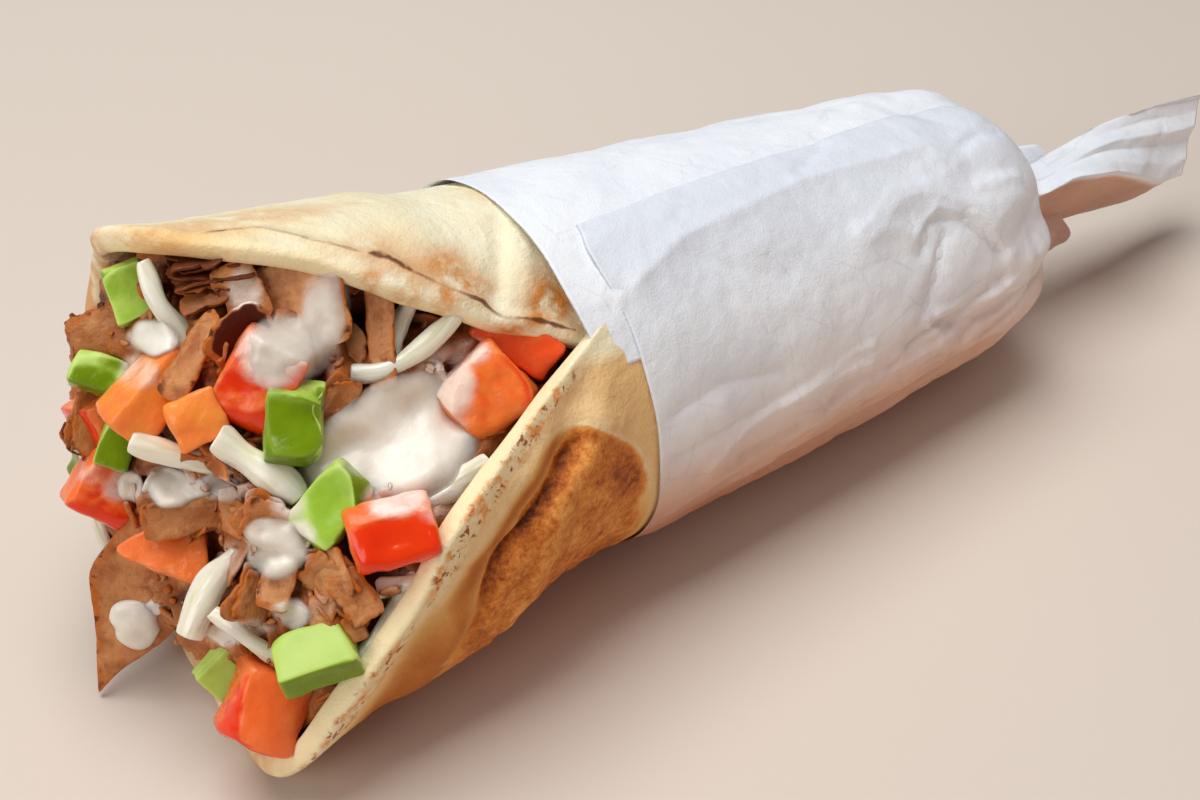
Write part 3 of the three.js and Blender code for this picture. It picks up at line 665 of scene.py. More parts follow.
def build_bread(material):
    """The whole sheet as one grid of ribs, lowered and raised by its fine relief."""
    angle = np.linspace(INNER_EDGE, OUTER_EDGE, BREAD_RIBS)[None, :]
    x, depth, lip = bread_profile(angle)
    angle = np.broadcast_to(angle, x.shape)
    base = roll_point(x, angle, bread_surface(x, angle) - depth)
    patch, brown, warm, golden = toasted(x, angle, base)
    lip_way = x - lip
    outside = 1 - depth / BREAD
    below = angle - 360
    near = through(TOAST_NEAR, below)
    groove = (bell((x - near - through(GROOVE_PAST, below)) / 1.7) * smooth((22 - below) / 6)
              * smooth((below + 30) / 18))
    ridge = (bell((x - near - through(RIDGE_PAST, below)) / 3.6) * smooth((20 - below) / 8)
             * smooth((below + 40) / 20))
    fine = 0.4 * lumps(base, 16, 2, 11) + 0.1 * lumps(base, 2.6, 2, 23)
    bank = bell((x - near + 4.5) / 3.4) * smooth((26 - below) / 8) * smooth((below + 40) / 20)
    fine = fine - 1.7 * groove + 1.0 * ridge + 0.45 * bank
    fine = fine + patch * (0.32 * lumps(base * [1, 1.4, 1], 3.0, 3, 17) - 0.25)
    fine = fine + 0.8 * bell(line_distance(x, below, PATCH_LIP) / 2.2) * (depth < 1)
    past = crease_way(x, angle) + 0.8 * grain(base, 9, 19)
    puff_shift = smooth((past + 0.5) / 6) - smooth(past / 3)
    fine = fine + PUFF * crease_part(x, angle) * bell(past / 12) * puff_shift
    fine = fine - 0.7 * bell((past + 1.6) / 2.2) * bell((angle - 74) / 20)
    line_far, line_strength = line_field(x, angle, DARK_LINE, LIP_RADIUS)
    fine = fine + 0.35 * bell(line_far / 1.4) * (depth < 1)
    fine = fine - 0.25 * bell((line_far - 2.6) / 1.4) * (depth < 1)
    puff = 0.45 * bell((lip_way - 1.5) / 3) * (0.5 + 0.5 * grain(base, 6, 29))
    swell = np.where(depth > BREAD / 2, -1, 1) * puff * smooth((0 - x) / 8)
    double = smooth((angle - 28) / 8) * smooth((146 - angle) / 10)
    tight = smooth((x + 26) / 10) * (0.75 - 0.6 * double) - (1.6 + 0.6 * double) * smooth((x - 1.5) / 7)
    shift = (fine * smooth((-1 - x) / 5) - 0.35 + tight) * outside + swell
    floor = depth + (PAPER + GAP + 0.2) * smooth((x + 30) / 18)
    points = roll_point(x, angle, bread_surface(x, angle) - depth + shift, floor)
    line_way = line_far / (0.35 + 0.5 * line_strength)
    line = np.clip(line_strength, 0, 1) * (depth < BREAD / 2)
    specks = bell((lip_way - depth - 3.1) / 3.3) * (depth < 2.4) * through(CHARRED, np.clip(below, -60, 40))
    face = smooth((depth - 0.4) / 0.8) * smooth((3 - lip_way) / 2)
    # Painted shade where the paper shades the crust, joined with the flap's own tan beyond the rim.
    paper_shade = smooth((x + 15) / 5) * smooth((below + 30) / 30)
    tan_and_paper_shade = np.maximum(paper_shade, 0.9 * smooth((lip_way - 3.6) / 4) * (1 - np.clip(2 * brown, 0, 1)))
    tan_and_paper_shade = tan_and_paper_shade * smooth((40 - below) / 5) * smooth((below + 90) / 30) * (1 - patch)
    warm = np.maximum(warm, 0.55 * bell((lip_way - 3) / 4) * smooth((44 - below) / 10)
                      * smooth((below + 70) / 20))
    warm = np.maximum(warm, 0.6 * smooth((depth - 2.6) / 1.6) * smooth((6 - lip_way) / 4)
                      * smooth((112 - angle) / 8))
    char = 0.8 * bell((x + 8.3) / 3.2) * bell((below - 3) / 7)
    masks = {"toast": patch, "golden": np.clip(golden, 0, 1), "tan_and_paper_shade": tan_and_paper_shade, "line_way": line_way, "line": line,
             "speck": specks, "face": face, "groove": (np.maximum(groove, char) - 0.4 * ridge) * outside,
             "brown": brown * outside, "warm": warm}
    rows, columns = x.shape
    grid = grid_faces(columns, rows)
    flat = {name: np.swapaxes(values, 0, 1).reshape(-1) for name, values in masks.items()}
    sheet = np.swapaxes(points, 0, 1).reshape(-1, 3)
    faces = [grid, *end_strips(rows, columns)]
    add_piece("flatbread_sheet", sheet, faces, material, ["flatbread"], flat)


def end_strips(count, ribs):
    """Faces that close a sheet of ribs at its first and last rib; a rib runs out along one face and back."""
    j = np.arange(count // 2 - 1)
    k = count - 1 - j
    first = np.stack([j, k, k - 1, j + 1], -1)
    start = (ribs - 1) * count
    return [first, start + first[:, ::-1]]


# %% [markdown]
# The bread's finish is a pale, slightly uneven cream. The masks turn it golden, then brown, and the noise
# makes the browning mottled, as it is where the dough touched the plate. Flour-dry bread scatters light
# softly, so the surface is rough, and a little light goes under it.

# %% Bread finish
def make_bread_finish():
    """Cream dough, browned by the masks: warm, tan, golden, toasted, charred, and a dark line on top; painted
    shade near the paper.
    """
    material, tree, shader, place = new_material(
        "bread crust", Subsurface_Weight=0.12, Subsurface_Radius=(1.0, 0.55, 0.25), Subsurface_Scale=0.004,
        Specular_IOR_Level=0.2
    )
    clouds = cloudy(place, colour(244, 236, 206), colour(238, 224, 184), 60.0, 0.35, 0.72)
    mottle = noise(place, 240, 6, 0.62)
    wide = noise(place, 90, 3)
    pale = blend(mask(tree, "face"), clouds, colour(252, 236, 196))
    pale = blend(mask(tree, "warm") * 0.8, pale, colour(240, 202, 132))
    baked = ramp(mask(tree, "brown") + (mottle - 0.5) * 0.35,
                 [(0.05, colour(246, 228, 180)), (0.4, colour(232, 184, 116)), (0.7, colour(212, 146, 78)),
                  (1.0, colour(186, 108, 46))])
    pale = blend(step(mask(tree, "brown"), 0.02, 0.25), pale, baked)
    gold = mask(tree, "golden") * step(mottle + wide, 0.74, 1.08)
    golden = blend(gold, pale, colour(212, 138, 62))
    # Tan, the flap's own colour, and painted shade near the paper.
    golden = blend(mask(tree, "tan_and_paper_shade") * 0.85, golden, colour(230, 182, 116))
    speckle = noise(place, 900, 4, 0.7)
    uneven = mottle + speckle * 1.1
    spread = uneven - 1.08 + wide * 0.5
    # The groove browns darker, partly its own toasting and partly painted shade; the ridge browns less,
    # partly a painted highlight.
    heat = mask(tree, "groove") * 0.34 + 0.3
    heat = mask(tree, "toast") * (heat + spread)
    toast = ramp(heat, [(0.0, colour(236, 186, 116)), (0.28, colour(226, 152, 74)),
                        (0.5, colour(204, 118, 46)), (0.72, colour(164, 82, 26)), (1.0, colour(84, 38, 14))])
    ragged = mask(tree, "toast") + (mottle - 0.5) * 0.9
    tint = blend(step(ragged, 0.2, 0.6), golden, toast)
    wander = noise(place, 420, 3) * 1.6
    thin = 1.0 - step(mask(tree, "line_way") + wander, 1.0, 1.7)
    broken = step(noise(place, 220, 3), 0.3, 0.5)
    dark_line = thin * mask(tree, "line") * broken
    near_line = 1.0 - step(mask(tree, "line_way") + wander, 1.0, 4.2)
    fringe = near_line * mask(tree, "line") * 0.3
    tint = blend(fringe, tint, colour(214, 142, 70))
    tint = blend(dark_line * 0.92, tint, colour(104, 54, 26))
    band = step(mask(tree, "speck"), 0.12, 0.6)
    spots = band * step(noise(place, 300, 4, 0.6), 0.48, 0.64)
    tint = blend(spots * 0.85, tint, colour(228, 140, 48))
    small = band * step(noise(place, 620, 3, 0.6, 0.3), 0.55, 0.63)
    tint = blend(small * 0.9, tint, colour(150, 66, 6))
    rough = 0.7 - heat * 0.2
    finish(shader, tint, rough, fine_relief(place, 420.0, 1900.0), 0.0005)
    return material


build_bread(make_bread_finish())

# %% [markdown]
# ## Paper wrapper
#
# The paper is one sheet, wound a little more than once from its outer end on top. Near the far end it closes
# over the shoulder in gathers. Paper can't stretch, so it makes sharp creases with flat fields between them.
# Each large crease is a short line in x and angle, and the height at a place falls off with its distance to
# that line.

# %% The paper's form
SHEET_TURN = 402.0
END_ANGLE, END_SLANT = 75.7, 12.3
SHEET = 0.22  # thickness that shows at the paper's edges
CREASES = [  # height, width, then places (x, angle)
    (1.5, 3.2, [(58, 45), (70, 55), (79, 54), (91, 37)]),
    (-1.3, 2.4, [(71, 33), (75, 43), (84, 40), (92, 22)]),
    (1.0, 1.8, [(71, 40), (78, 47), (88, 38), (95, 19)]),
    (-0.9, 1.6, [(78, 36), (73, 24), (69, 12)]),
    (0.9, 2.0, [(69, 9), (76, -8), (84, -12), (104, -7)]),
    (-0.7, 2.6, [(72, 6), (80, -3), (92, -1)]),
    (-0.8, 2.2, [(-4, 13), (17, 18), (31, 14)]),
    (0.8, 1.8, [(12, -8), (21, 0), (31, 3), (53, 3)]),
    (-0.8, 2.4, [(-4, 0), (15, 3), (50, 8)]),
    (0.6, 2.0, [(-2, -16), (22, -14), (46, -10), (66, -14)]),
    (0.9, 3.0, [(1, 51), (19, 62), (52, 70), (83, 70), (88, 61)]),
    (0.8, 2.2, [(20, -22), (50, -20), (80, -16), (95, -8)]),
    (-0.7, 2.0, [(36, -27), (62, -26), (88, -20)]),
    (0.7, 2.0, [(56, -34), (80, -31), (97, -20)]),
    (-0.7, 2.0, [(64, 2), (84, 8), (96, 10)]),
    (-0.5, 2.4, [(20, 118), (48, 124), (84, 112)]),
    (0.7, 2.4, [(30, 160), (60, 168), (90, 158)]),
    (-0.8, 2.0, [(10, 205), (38, 196), (70, 204)]),
    (0.7, 2.2, [(44, 232), (74, 222), (92, 226)]),
]


def paper_creases(x, angle, points):
    """Named creases as sharp-topped ridges, short random folds, and a crumple from the size of lumps."""
    near = angle_from(angle, 60) + 60
    total = np.zeros(x.shape)
    for height, width, places in CREASES:
        total = total + 1.25 * height * np.exp(-line_distance(x, near, places) / width)
    for height, width, places in random_creases(count=44, seed=12):
        total = total + height * np.maximum(0, 1 - line_distance(x, angle % 360, places) / width)
    rng = np.random.default_rng(31)
    for _ in range(34):
        u, v, half, slope = (rng.uniform(6, 92), rng.uniform(-50, 16), rng.uniform(6, 18),
                             rng.normal(0.35, 0.3))
        places = [(u - half, v - half * slope), (u + half, v + half * slope)]
        height = rng.choice([-0.5, 0.6])
        total = total + height * np.maximum(0, 1 - line_distance(x, near, places) / rng.uniform(1.2, 2.8))
    toward_end = 0.35 + 0.65 * smooth((x - 30) / 60)
    folds = np.abs(lumps(points, 24, 2, 41)) + 0.6 * np.abs(lumps(points * [0.55, 1, 1], 13, 2, 43))
    crumple = 1.3 * toward_end * (folds - 0.45)
    return total + crumple + 0.1 * lumps(points, 3.5, 2, 47)


def paper_outline(along, edge):
    """x and radius: 0 to 1 runs straight to the shoulder, and 1 to 2 on a quarter ellipse to the neck."""
    turn = np.maximum(along - 1, 0) * np.pi / 2
    x_closing = SHOULDER_X + (NECK_X - SHOULDER_X) * np.sin(turn)
    x = np.where(along <= 1, edge + (SHOULDER_X - edge) * along, x_closing)
    closing = NECK_RADIUS + (roll_radius(SHOULDER_X) - NECK_RADIUS) * np.cos(turn)
    return x, np.where(along <= 1, roll_radius(x), closing)


def paper_point(around, along, depth):
    """A point of the wound sheet, with the gathers' cosine waves where it closes, and its creases."""
    edge = 1.4 * smooth(1 - around / 10) - 8 * smooth((around - 190) / 120)
    edge = edge + 0.35 * waves(8, around / 14, 0)
    along = np.minimum(along, 1.999)
    x0, r0 = paper_outline(along, edge)
    x1, r1 = paper_outline(along + 0.001, edge)
    length = np.hypot(x1 - x0, r1 - r0)
    layer = (PAPER + GAP) * smooth((around - 300) / 45) + depth
    slant = END_SLANT * np.clip(x0 / 70, 0, 1.4) * np.maximum(0, 1 - around / 60)
    angle = END_ANGLE + slant - around
    closing = smooth((along - 0.85) / 0.5)
    fold_wave = np.cos((9 * angle + 1.2 * np.sin(angle * DEG * 2) * 30) * DEG + 2 * np.sin(3 * angle * DEG))
    gathers = (0.5 + 0.5 * fold_wave) ** 0.8
    x = x0 + (r1 - r0) / length * layer
    radius = r0 - (x1 - x0) / length * layer - 1.8 * closing * gathers
    base = roll_point(x, angle, radius)
    calm = smooth((x0 - edge) / 6) * smooth((NECK_X - 1 - x0) / 8)
    creases = np.clip(paper_creases(x0, angle % 360, base), -2.2, 1.3)
    shift = creases * calm - 0.5 * smooth((NECK_X - 1 - x0) / 8)
    shift = shift - 0.36 * (1 - smooth(around / 7))
    return roll_point(x, angle, radius + shift - 0.2 * bell((x0 - edge) / 5), depth), x0, angle


# points round the roll, along it and over the shoulder
PAPER_RIBS, PAPER_ALONG, PAPER_CLOSING = 440, 126, 53
MM_PER_DEGREE = 0.62  # on the unrolled paper


def build_paper(material):
    """The wound sheet: ribs along x that run out along its outer face and back along its inner one."""
    around = np.linspace(0, SHEET_TURN, PAPER_RIBS)[:, None]
    straight, closing = np.linspace(0, 1, PAPER_ALONG), 1 + np.linspace(0, 0.985, PAPER_CLOSING)[1:]
    outer_way = np.concatenate([straight, closing])[None, :]
    inner_way = outer_way[:, ::-1][:, ::4]
    outer, x0, angle = paper_point(around, outer_way, 0.0)
    inner, inner_x, inner_angle = paper_point(around, inner_way, SHEET)
    points = np.concatenate([outer, inner], 1)
    ribs, count = points.shape[:2]
    unrolled = np.concatenate([np.stack([x0, angle * MM_PER_DEGREE, 0 * x0], -1),
                               np.stack([inner_x, inner_angle * MM_PER_DEGREE, 0 * inner_x], -1)], 1)
    ends = uneven_end_strips(outer.shape[1], inner.shape[1], ribs)
    # Painted shade: the outer layer turns greyer near its end.
    outer_end_shade = np.broadcast_to(smooth((46 - around) / 30) * smooth(around / 0.6 + 0.5), points.shape[:2])
    # The last mask paints warm bounce light: stronger lower down and towards the open edge.
    masks = {"unrolled": unrolled.reshape(-1, 3) * MM, "end": outer_end_shade.reshape(-1),
             "painted_bounce": (np.clip(1 - points[..., 2] / 50, 0, 1)
                        * (1.14 - 0.3 * points[..., 0] / 90)).reshape(-1)}
    faces = [grid_faces(ribs, count), *ends]
    add_piece("paper_sheet", points.reshape(-1, 3), faces, material, ["paper_wrapper"], masks)


def uneven_end_strips(outer, inner, ribs):
    """Closes the sheet's two ends where the outer face has several points for each inner one."""
    strips = []
    for rib in (0, ribs - 1):
        start = rib * (outer + inner)
        step_size = (outer - 1) / (inner - 1)
        i = np.arange(outer - 1)
        back = outer + inner - 1 - np.round(i / step_size).astype(int)
        back_next = outer + inner - 1 - np.round((i + 1) / step_size).astype(int)
        low = np.stack([i, back, i + 1], -1)
        high = np.stack([i + 1, back, back_next], -1)[back != back_next]
        both = start + np.concatenate([low, high])
        strips.append(both if rib == 0 else both[:, ::-1])
    return strips


# %% [markdown]
# The tail is the same sheet, pinched and flattened to a fan. Its section is a thin bent outline with a few
# pleats, carried along x. The outline's top and bottom edge follow two curves, and it stays open at its end,
# where the paper's own thickness shows.

# %% The paper's tail
TAIL_TOP = [(0, 11), (0.07, 9.4), (0.2, 3.6), (0.34, 4.6), (0.5, 6), (0.8, 4.4), (1, 2.2)]
TAIL_UNDER = [(0, -11), (0.07, -11), (0.2, -13), (0.36, -15.8), (0.6, -18), (0.85, -20.4), (1, -18.4)]
TAIL_DEEP = [(0, 11), (0.07, 10), (0.2, 6.2), (0.45, 5.5), (1, 2)]
TAIL_START = NECK_X - 4
# the section's corners: share of the height from the bottom, and share of the depth (near side is -1)
SECTION = [(0.0, 0.05), (0.25, -0.5), (0.5, -1.0), (0.6, -0.84), (0.72, -0.5), (0.8, -0.46), (0.9, -0.16),
           (1.0, 0.0), (0.86, 0.5), (0.7, 0.25), (0.5, 0.8), (0.3, 0.4), (0.14, 0.5)]
RIDGE_HIGH, RIDGE_FALL, RIDGE_FROM = 0.78, 1.08, 0.3  # the near ridge's share of the height, and how it sinks
TOWARD = np.array([-0.439, -0.6275, 0.643])  # up and to the near side, the way the ridge stands out
TAIL_ROWS, TAIL_STEPS = 120, 8  # sections along the tail, and steps from corner to corner


def tail_grid(room):
    """Round each section from corner to corner in straight steps; round near the neck, pleated beyond it."""
    t = np.linspace(0, 1, TAIL_ROWS)[:, None]
    corners = np.array(SECTION + SECTION[:1], float)
    way = np.arange(len(SECTION) * TAIL_STEPS)[None, :] / TAIL_STEPS
    first = way.astype(int)
    share = (way - first)[..., None]
    section = corners[first] * (1 - share) + corners[first + 1] * share
    lift, deep = section[..., 0] + 0 * t, section[..., 1] + 0 * t
    ridge = RIDGE_HIGH - RIDGE_FALL * np.maximum(0, t - RIDGE_FROM)
    sunk = np.where(lift < 0.5, lift * ridge / 0.5, ridge + (lift - 0.5) * (1 - ridge) / 0.5)
    lift = np.where(deep < 0, sunk, lift)
    stands = np.maximum(0, -deep) * 15 * smooth((t - 0.1) / 0.3) * (1 - 0.25 * t)
    round_turn = np.arctan2(2 * lift - 1, deep)
    pinched = 1 - smooth(t / 0.3)
    lift = lift * (1 - pinched) + (0.5 + 0.5 * np.sin(round_turn)) * pinched
    deep = deep * (1 - pinched) + np.cos(round_turn) * pinched * (1 + 0.12 * np.cos(7 * round_turn))
    top, under, half = through(TAIL_TOP, t), through(TAIL_UNDER, t), through(TAIL_DEEP, t)
    rake = 4 * t * (2 * lift - 1)
    x = TAIL_START + (NECK_X + TAIL_LENGTH - TAIL_START) * t + rake - 0.8
    twist = 0.8 * bell((t - 0.2) / 0.12) * np.sin(4 * lift * np.pi)
    y = deep * (half * (1 - 0.25 * smooth((t - 0.5) / 0.5)) - room) + twist
    z = middle_height(NECK_X) + under + (top - under) * (lift * (1 - 0.02 * room) + 0.01 * room)
    points = np.stack(np.broadcast_arrays(x, y, z), -1) + stands[..., None] * TOWARD
    crumple = 0.9 * (np.abs(lumps(points * [0.5, 1, 1.2], 10, 3, 53)) - 0.4) * smooth(t / 0.2)
    points[..., 1] += crumple * np.sign(deep + 1e-6)
    # The panels under the near ridge get painted warm bounce light.
    under_ridge = smooth((ridge - lift) / 0.08) * (deep < 0) * smooth((t - 0.06) / 0.2)
    return points, 0.62 * under_ridge + 0 * t


def build_tail(material):
    """Outer and inner skins joined at the open end and at the hidden start, like a flattened sleeve."""
    (outer, painted_bounce), (inner, _) = tail_grid(0.0), tail_grid(SHEET)
    rings = np.concatenate([outer, inner[::-1]])
    painted_bounce = np.concatenate([painted_bounce, 0 * painted_bounce])
    rows, columns = rings.shape[:2]
    faces = [grid_faces(rows, columns)]
    j, last = np.arange(columns), (rows - 1) * columns
    faces.append(np.stack([last + j, last + (j + 1) % columns, (j + 1) % columns, j], -1))
    flat = rings.reshape(-1, 3)
    masks = {"unrolled": np.stack([flat[:, 0], flat[:, 2], flat[:, 1]], -1) * MM,
             "painted_bounce": painted_bounce.reshape(-1)}
    add_piece("paper_tail", flat, faces, material, ["paper_wrapper"], masks)


# %% [markdown]
# Food paper is thin and white with a faint sheen. Its print is only a pale web of grey lines, drawn here as
# the borders of random cells in the paper's unrolled measure, and broken up so that it stays barely visible.

# %% Paper finish
def make_paper_finish():
    """White with a faint web, greyer at the outer end by painted shade, and peach low down by painted bounce
    light.
    """
    material, tree, shader, place = new_material(
        "food paper", Subsurface_Weight=0.1, Subsurface_Radius=(1.0, 0.9, 0.8), Subsurface_Scale=0.0012,
        Specular_IOR_Level=0.35
    )
    flat = node(tree, "Attribute", "Vector", attribute_name="unrolled")
    bent = noise(flat, 160, 2)
    cells = node(tree, "TexVoronoi", "Distance", {"Vector": flat, "Scale": 95.0}, feature="DISTANCE_TO_EDGE")
    thin = 1.0 - step(cells, 0.01, 0.03)
    broken = thin * step(bent, 0.42, 0.62)
    clouds = cloudy(place, colour(244, 246, 249), colour(236, 239, 244), 55.0, 0.35, 0.65)
    tint = blend(broken * 0.1, clouds, colour(120, 128, 140))
    # Painted shade: greyer over the outer layer near its end.
    tint = blend(mask(tree, "end") * 0.6, tint, colour(214, 219, 228))
    # Painted bounce light: a peach tint that deepens lower down, as light thrown up from a warm table.
    uneven = (noise(place, 30, 3) - 0.5) * 0.3
    painted_bounce = mask(tree, "painted_bounce") * (1.0 + uneven)
    bounce_tint = ramp(painted_bounce, [(0.0, colour(255, 255, 255)), (0.2, colour(254, 249, 247)),
                           (0.5, colour(238, 192, 166)), (0.84, colour(200, 128, 90)),
                           (1.0, colour(188, 110, 70))])
    tint = node(tree, "Mix", 2, {0: 1.0, 6: tint, 7: bounce_tint}, data_type="RGBA", blend_type="MULTIPLY")
    relief = fine_relief(place, 260.0, 2400.0)
    rough = 0.5 + relief * 0.12
    finish(shader, tint, rough, relief, 0.00035)
    return material


PAPER_FINISH = make_paper_finish()
build_paper(PAPER_FINISH)
build_tail(PAPER_FINISH)

# %% [markdown]
# ## The filling's surface
#
# The filling is a heap that bulges out of the slanting open end. It is a surface of two parameters: the angle
# round the roll, and the share of the way from the middle of the opening to the bread. Pieces are placed on
# two planes laid over it, one on the open face and one on the end that looks away from the tail.

# %% The faces that pieces lie on
class Face:
    """A plane with directions right, up and out, through a middle point."""

    def __init__(self, middle, turn, lift):
        """Turned so many degrees from the roll's side, and lifted so many to look up."""
        a, b = turn * DEG, lift * DEG
        self.middle = np.array(middle, float)
        self.right = np.array([np.cos(a), -np.sin(a), 0])
        self.out = np.array([-np.sin(a) * np.cos(b), -np.cos(a) * np.cos(b), np.sin(b)])
        self.up = np.cross(self.out, self.right)

    def axes(self):
        """The three directions as rows."""
        return np.array([self.right, self.up, self.out])

    def point(self, right, up, out=0.0):
        """The point so far right, up and out of the middle."""
        return self.middle + np.stack(np.broadcast_arrays(right, up, out), -1) @ self.axes()

    def measure(self, points):
        """How far right, up and out points lie."""
        return (points - self.middle) @ self.axes().T


FACE = Face((-55.5, -18.4, 49.3), 25.5, 35)
END = Face((-70, 0, 46), 90, 0)

MEAT_ROOM, MEAT_END_X = BREAD + 1.2, 92.0
MIDDLE = np.array([-64.0, -8.0, 46.0])
BULGE = np.array([-7.0, -7.0, 3.5])
SPILL, CRAG = 13.0, 1.6
COARSE_AROUND = 36
CAP_SHARES = np.array([1, 0.92, 0.77, 0.59, 0.4, 0.2])


def meat_side(x, angle):
    """A point just inside the bread, following its flaps."""
    slope = smooth((angle + 12) / 34)
    under_flap = tuck(np.maximum(angle, INNER_EDGE)) * slope
    tucked = np.where(angle > 180, (BREAD + LAP) * smooth((angle - 348) / 34), under_flap)
    relief = bread_relief(x, np.where(angle < INNER_EDGE, angle + 360, angle))
    radius = roll_radius(x) + relief - tucked - paper_room(x) - MEAT_ROOM
    return roll_point(x, angle, radius, MEAT_ROOM + 0.4 + (PAPER + GAP) * smooth((x + 30) / 18))


def filling_edge(angle):
    """x where the filling meets the bread, set back under the top lip."""
    return through(LIP, np.where(angle < 34, angle + 360, angle)) + 4 + 9 * bell((angle - 85) / 30)


def filling_point(angle, share):
    """From the middle (share 0) to the bread (share 1), pushed out by a bulge, a spill and slow lumps."""
    angle, share = np.broadcast_arrays(np.asarray(angle, float), np.asarray(share, float))
    edge = meat_side(filling_edge(angle), angle)
    back = smooth((2 - (edge - MIDDLE) @ FACE.out) / 30)
    s = share[..., None]
    inside = 1 - share**2
    point = MIDDLE + (edge - MIDDLE) * s + BULGE * inside[..., None]
    point[..., 0] -= SPILL * 4 * share**2 * inside * back * (0.55 + 0.45 * np.sin((angle - 100) * DEG))
    lump = CRAG * waves(1, point[..., 0] / 5, (point[..., 1] + point[..., 2]) / 6) * smooth(4 * (1 - share))
    return point + lump[..., None] * FACE.out


def coarse_cap():
    """The heap's front as the solid has it: triangles between six rings of 36 points."""
    angle = np.arange(COARSE_AROUND) * 360 / COARSE_AROUND
    rings = filling_point(angle[None, :], CAP_SHARES[:, None])
    p, q = rings, np.roll(rings, -1, axis=1)
    between = [np.stack([p[:-1], q[:-1], p[1:]], 2), np.stack([q[:-1], q[1:], p[1:]], 2)]
    middle = np.broadcast_to(filling_point(0, 0), p[-1].shape)
    triangles = [t.reshape(-1, 3, 3) for t in between] + [np.stack([p[-1], q[-1], middle], 1)]
    return np.concatenate(triangles), rings[0]


CAP_TRIANGLES, CAP_EDGE = coarse_cap()


def filling_height(face, right, up):
    """Height of that front over a face: the highest triangle whose barycentric shares are all positive."""
    corners = face.measure(CAP_TRIANGLES)
    a, b, c = corners[:, 0], corners[:, 1], corners[:, 2]
    area = (b[:, 0] - a[:, 0]) * (c[:, 1] - a[:, 1]) - (c[:, 0] - a[:, 0]) * (b[:, 1] - a[:, 1])
    v = ((right - a[:, 0]) * (c[:, 1] - a[:, 1]) - (c[:, 0] - a[:, 0]) * (up - a[:, 1])) / area
    w = ((b[:, 0] - a[:, 0]) * (up - a[:, 1]) - (right - a[:, 0]) * (b[:, 1] - a[:, 1])) / area
    inside = (v >= 0) & (w >= 0) & (v + w <= 1)
    if inside.any():
        return float((a[:, 2] + v * (b[:, 2] - a[:, 2]) + w * (c[:, 2] - a[:, 2]))[inside].max())
    edge = face.measure(CAP_EDGE)
    return float(edge[np.argmin((edge[:, 0] - right) ** 2 + (edge[:, 1] - up) ** 2), 2])


print("filling height in the middle of the open face:", round(filling_height(FACE, 0, 0), 2), "mm")

# %% [markdown]
# ## One piece of food
#
# Every piece has a row: where it lies on its face, its size, and how it is turned and bent. A strip is a
# rounded section carried along a path. A sliced piece is a thin sheet with two faces and a torn outline. A
# diced piece is what is left between flat cuts.

# %% Where a piece lies
def piece_turn(piece):
    """Turned about out, pitched about its side and rolled about its length, then laid on its face."""
    a, b, c = (piece.get(k, 0) * DEG for k in ("turn", "pitch", "roll"))
    spin = Matrix.Rotation(a, 3, "Z") @ Matrix.Rotation(-b, 3, "Y") @ Matrix.Rotation(c, 3, "X")
    return piece.get("spot", piece.get("face", FACE)).axes().T @ np.array(spin)


def piece_spot(piece):
    """Where its middle lies: over the filling's surface, which is taken where the piece rests."""
    if "spot" in piece:
        return piece["spot"].middle + piece["lift"] * piece["spot"].out
    face = piece.get("face", FACE)
    right, up, lift = piece["at"]
    return face.point(right, up, filling_height(face, *piece.get("rest", (right, up))) + lift)


def bent(own, piece):
    """Own coordinates laid round a circle: curl lifts the two ends, sweep bends them aside."""
    x, y, z = np.moveaxis(own, -1, 0)
    if piece.get("curl"):
        radius = piece["size"][0] / (piece["curl"] * DEG)
        x, z = (radius - z) * np.sin(x / radius), radius - (radius - z) * np.cos(x / radius)
    if piece.get("sweep"):
        radius = piece["size"][0] / (piece["sweep"] * DEG)
        x, y = (radius - y) * np.sin(x / radius), radius - (radius - y) * np.cos(x / radius)
    return np.stack([x, y, z], -1)


def placed(own, piece):
    """Own coordinates bent, turned and set down."""
    return bent(own, piece).reshape(-1, 3) @ piece_turn(piece).T + piece_spot(piece)


# %% A strip: a section carried along a path
def strip_grid(piece, rings, corners, end_power=7.0):
    """Squared-circle ends and section, narrowed at the tips: a grid with the tips as first and last row."""
    length, width, thick = piece["size"]
    seed, rough = piece.get("seed", 0), piece.get("rough", 0.05)
    t, full = squared(np.linspace(0, np.pi, rings + 2)[1:-1, None], end_power)
    t = np.concatenate([[[-1.0]], -t, [[1.0]]])
    full = np.concatenate([[[0.0]], full, [[0.0]]])
    turn = 2 * np.pi * (np.arange(corners)[None, :] + 0.5) / corners
    c, s = squared(turn, piece.get("square", 4.0))
    tip = 1 - (1 - piece.get("ends", 0.8)) * np.abs(t) ** 6
    taper = 1 - piece.get("taper", 0) * t - piece.get("belly", 0) * t**2
    uneven = 1 + rough * waves(seed, 3 * t, 1.5 * np.cos(turn))
    across = c * full * width / 2 * tip * taper * uneven
    deep = s * full * thick / 2 * tip * uneven
    return np.stack([t * length / 2 + 0 * across, across, deep], -1)


def closed_grid(grid):
    """A grid whose first and last rows are single tips, as (points, faces)."""
    rows, columns = grid.shape[0] - 2, grid.shape[1]
    count = rows * columns
    points = np.concatenate([grid[1:-1].reshape(-1, 3), grid[0].mean(0)[None], grid[-1].mean(0)[None]])
    faces = [grid_faces(rows, columns), fan_faces(count, 0, columns),
             fan_faces(count + 1, count - columns, columns)[:, ::-1]]
    return points, faces


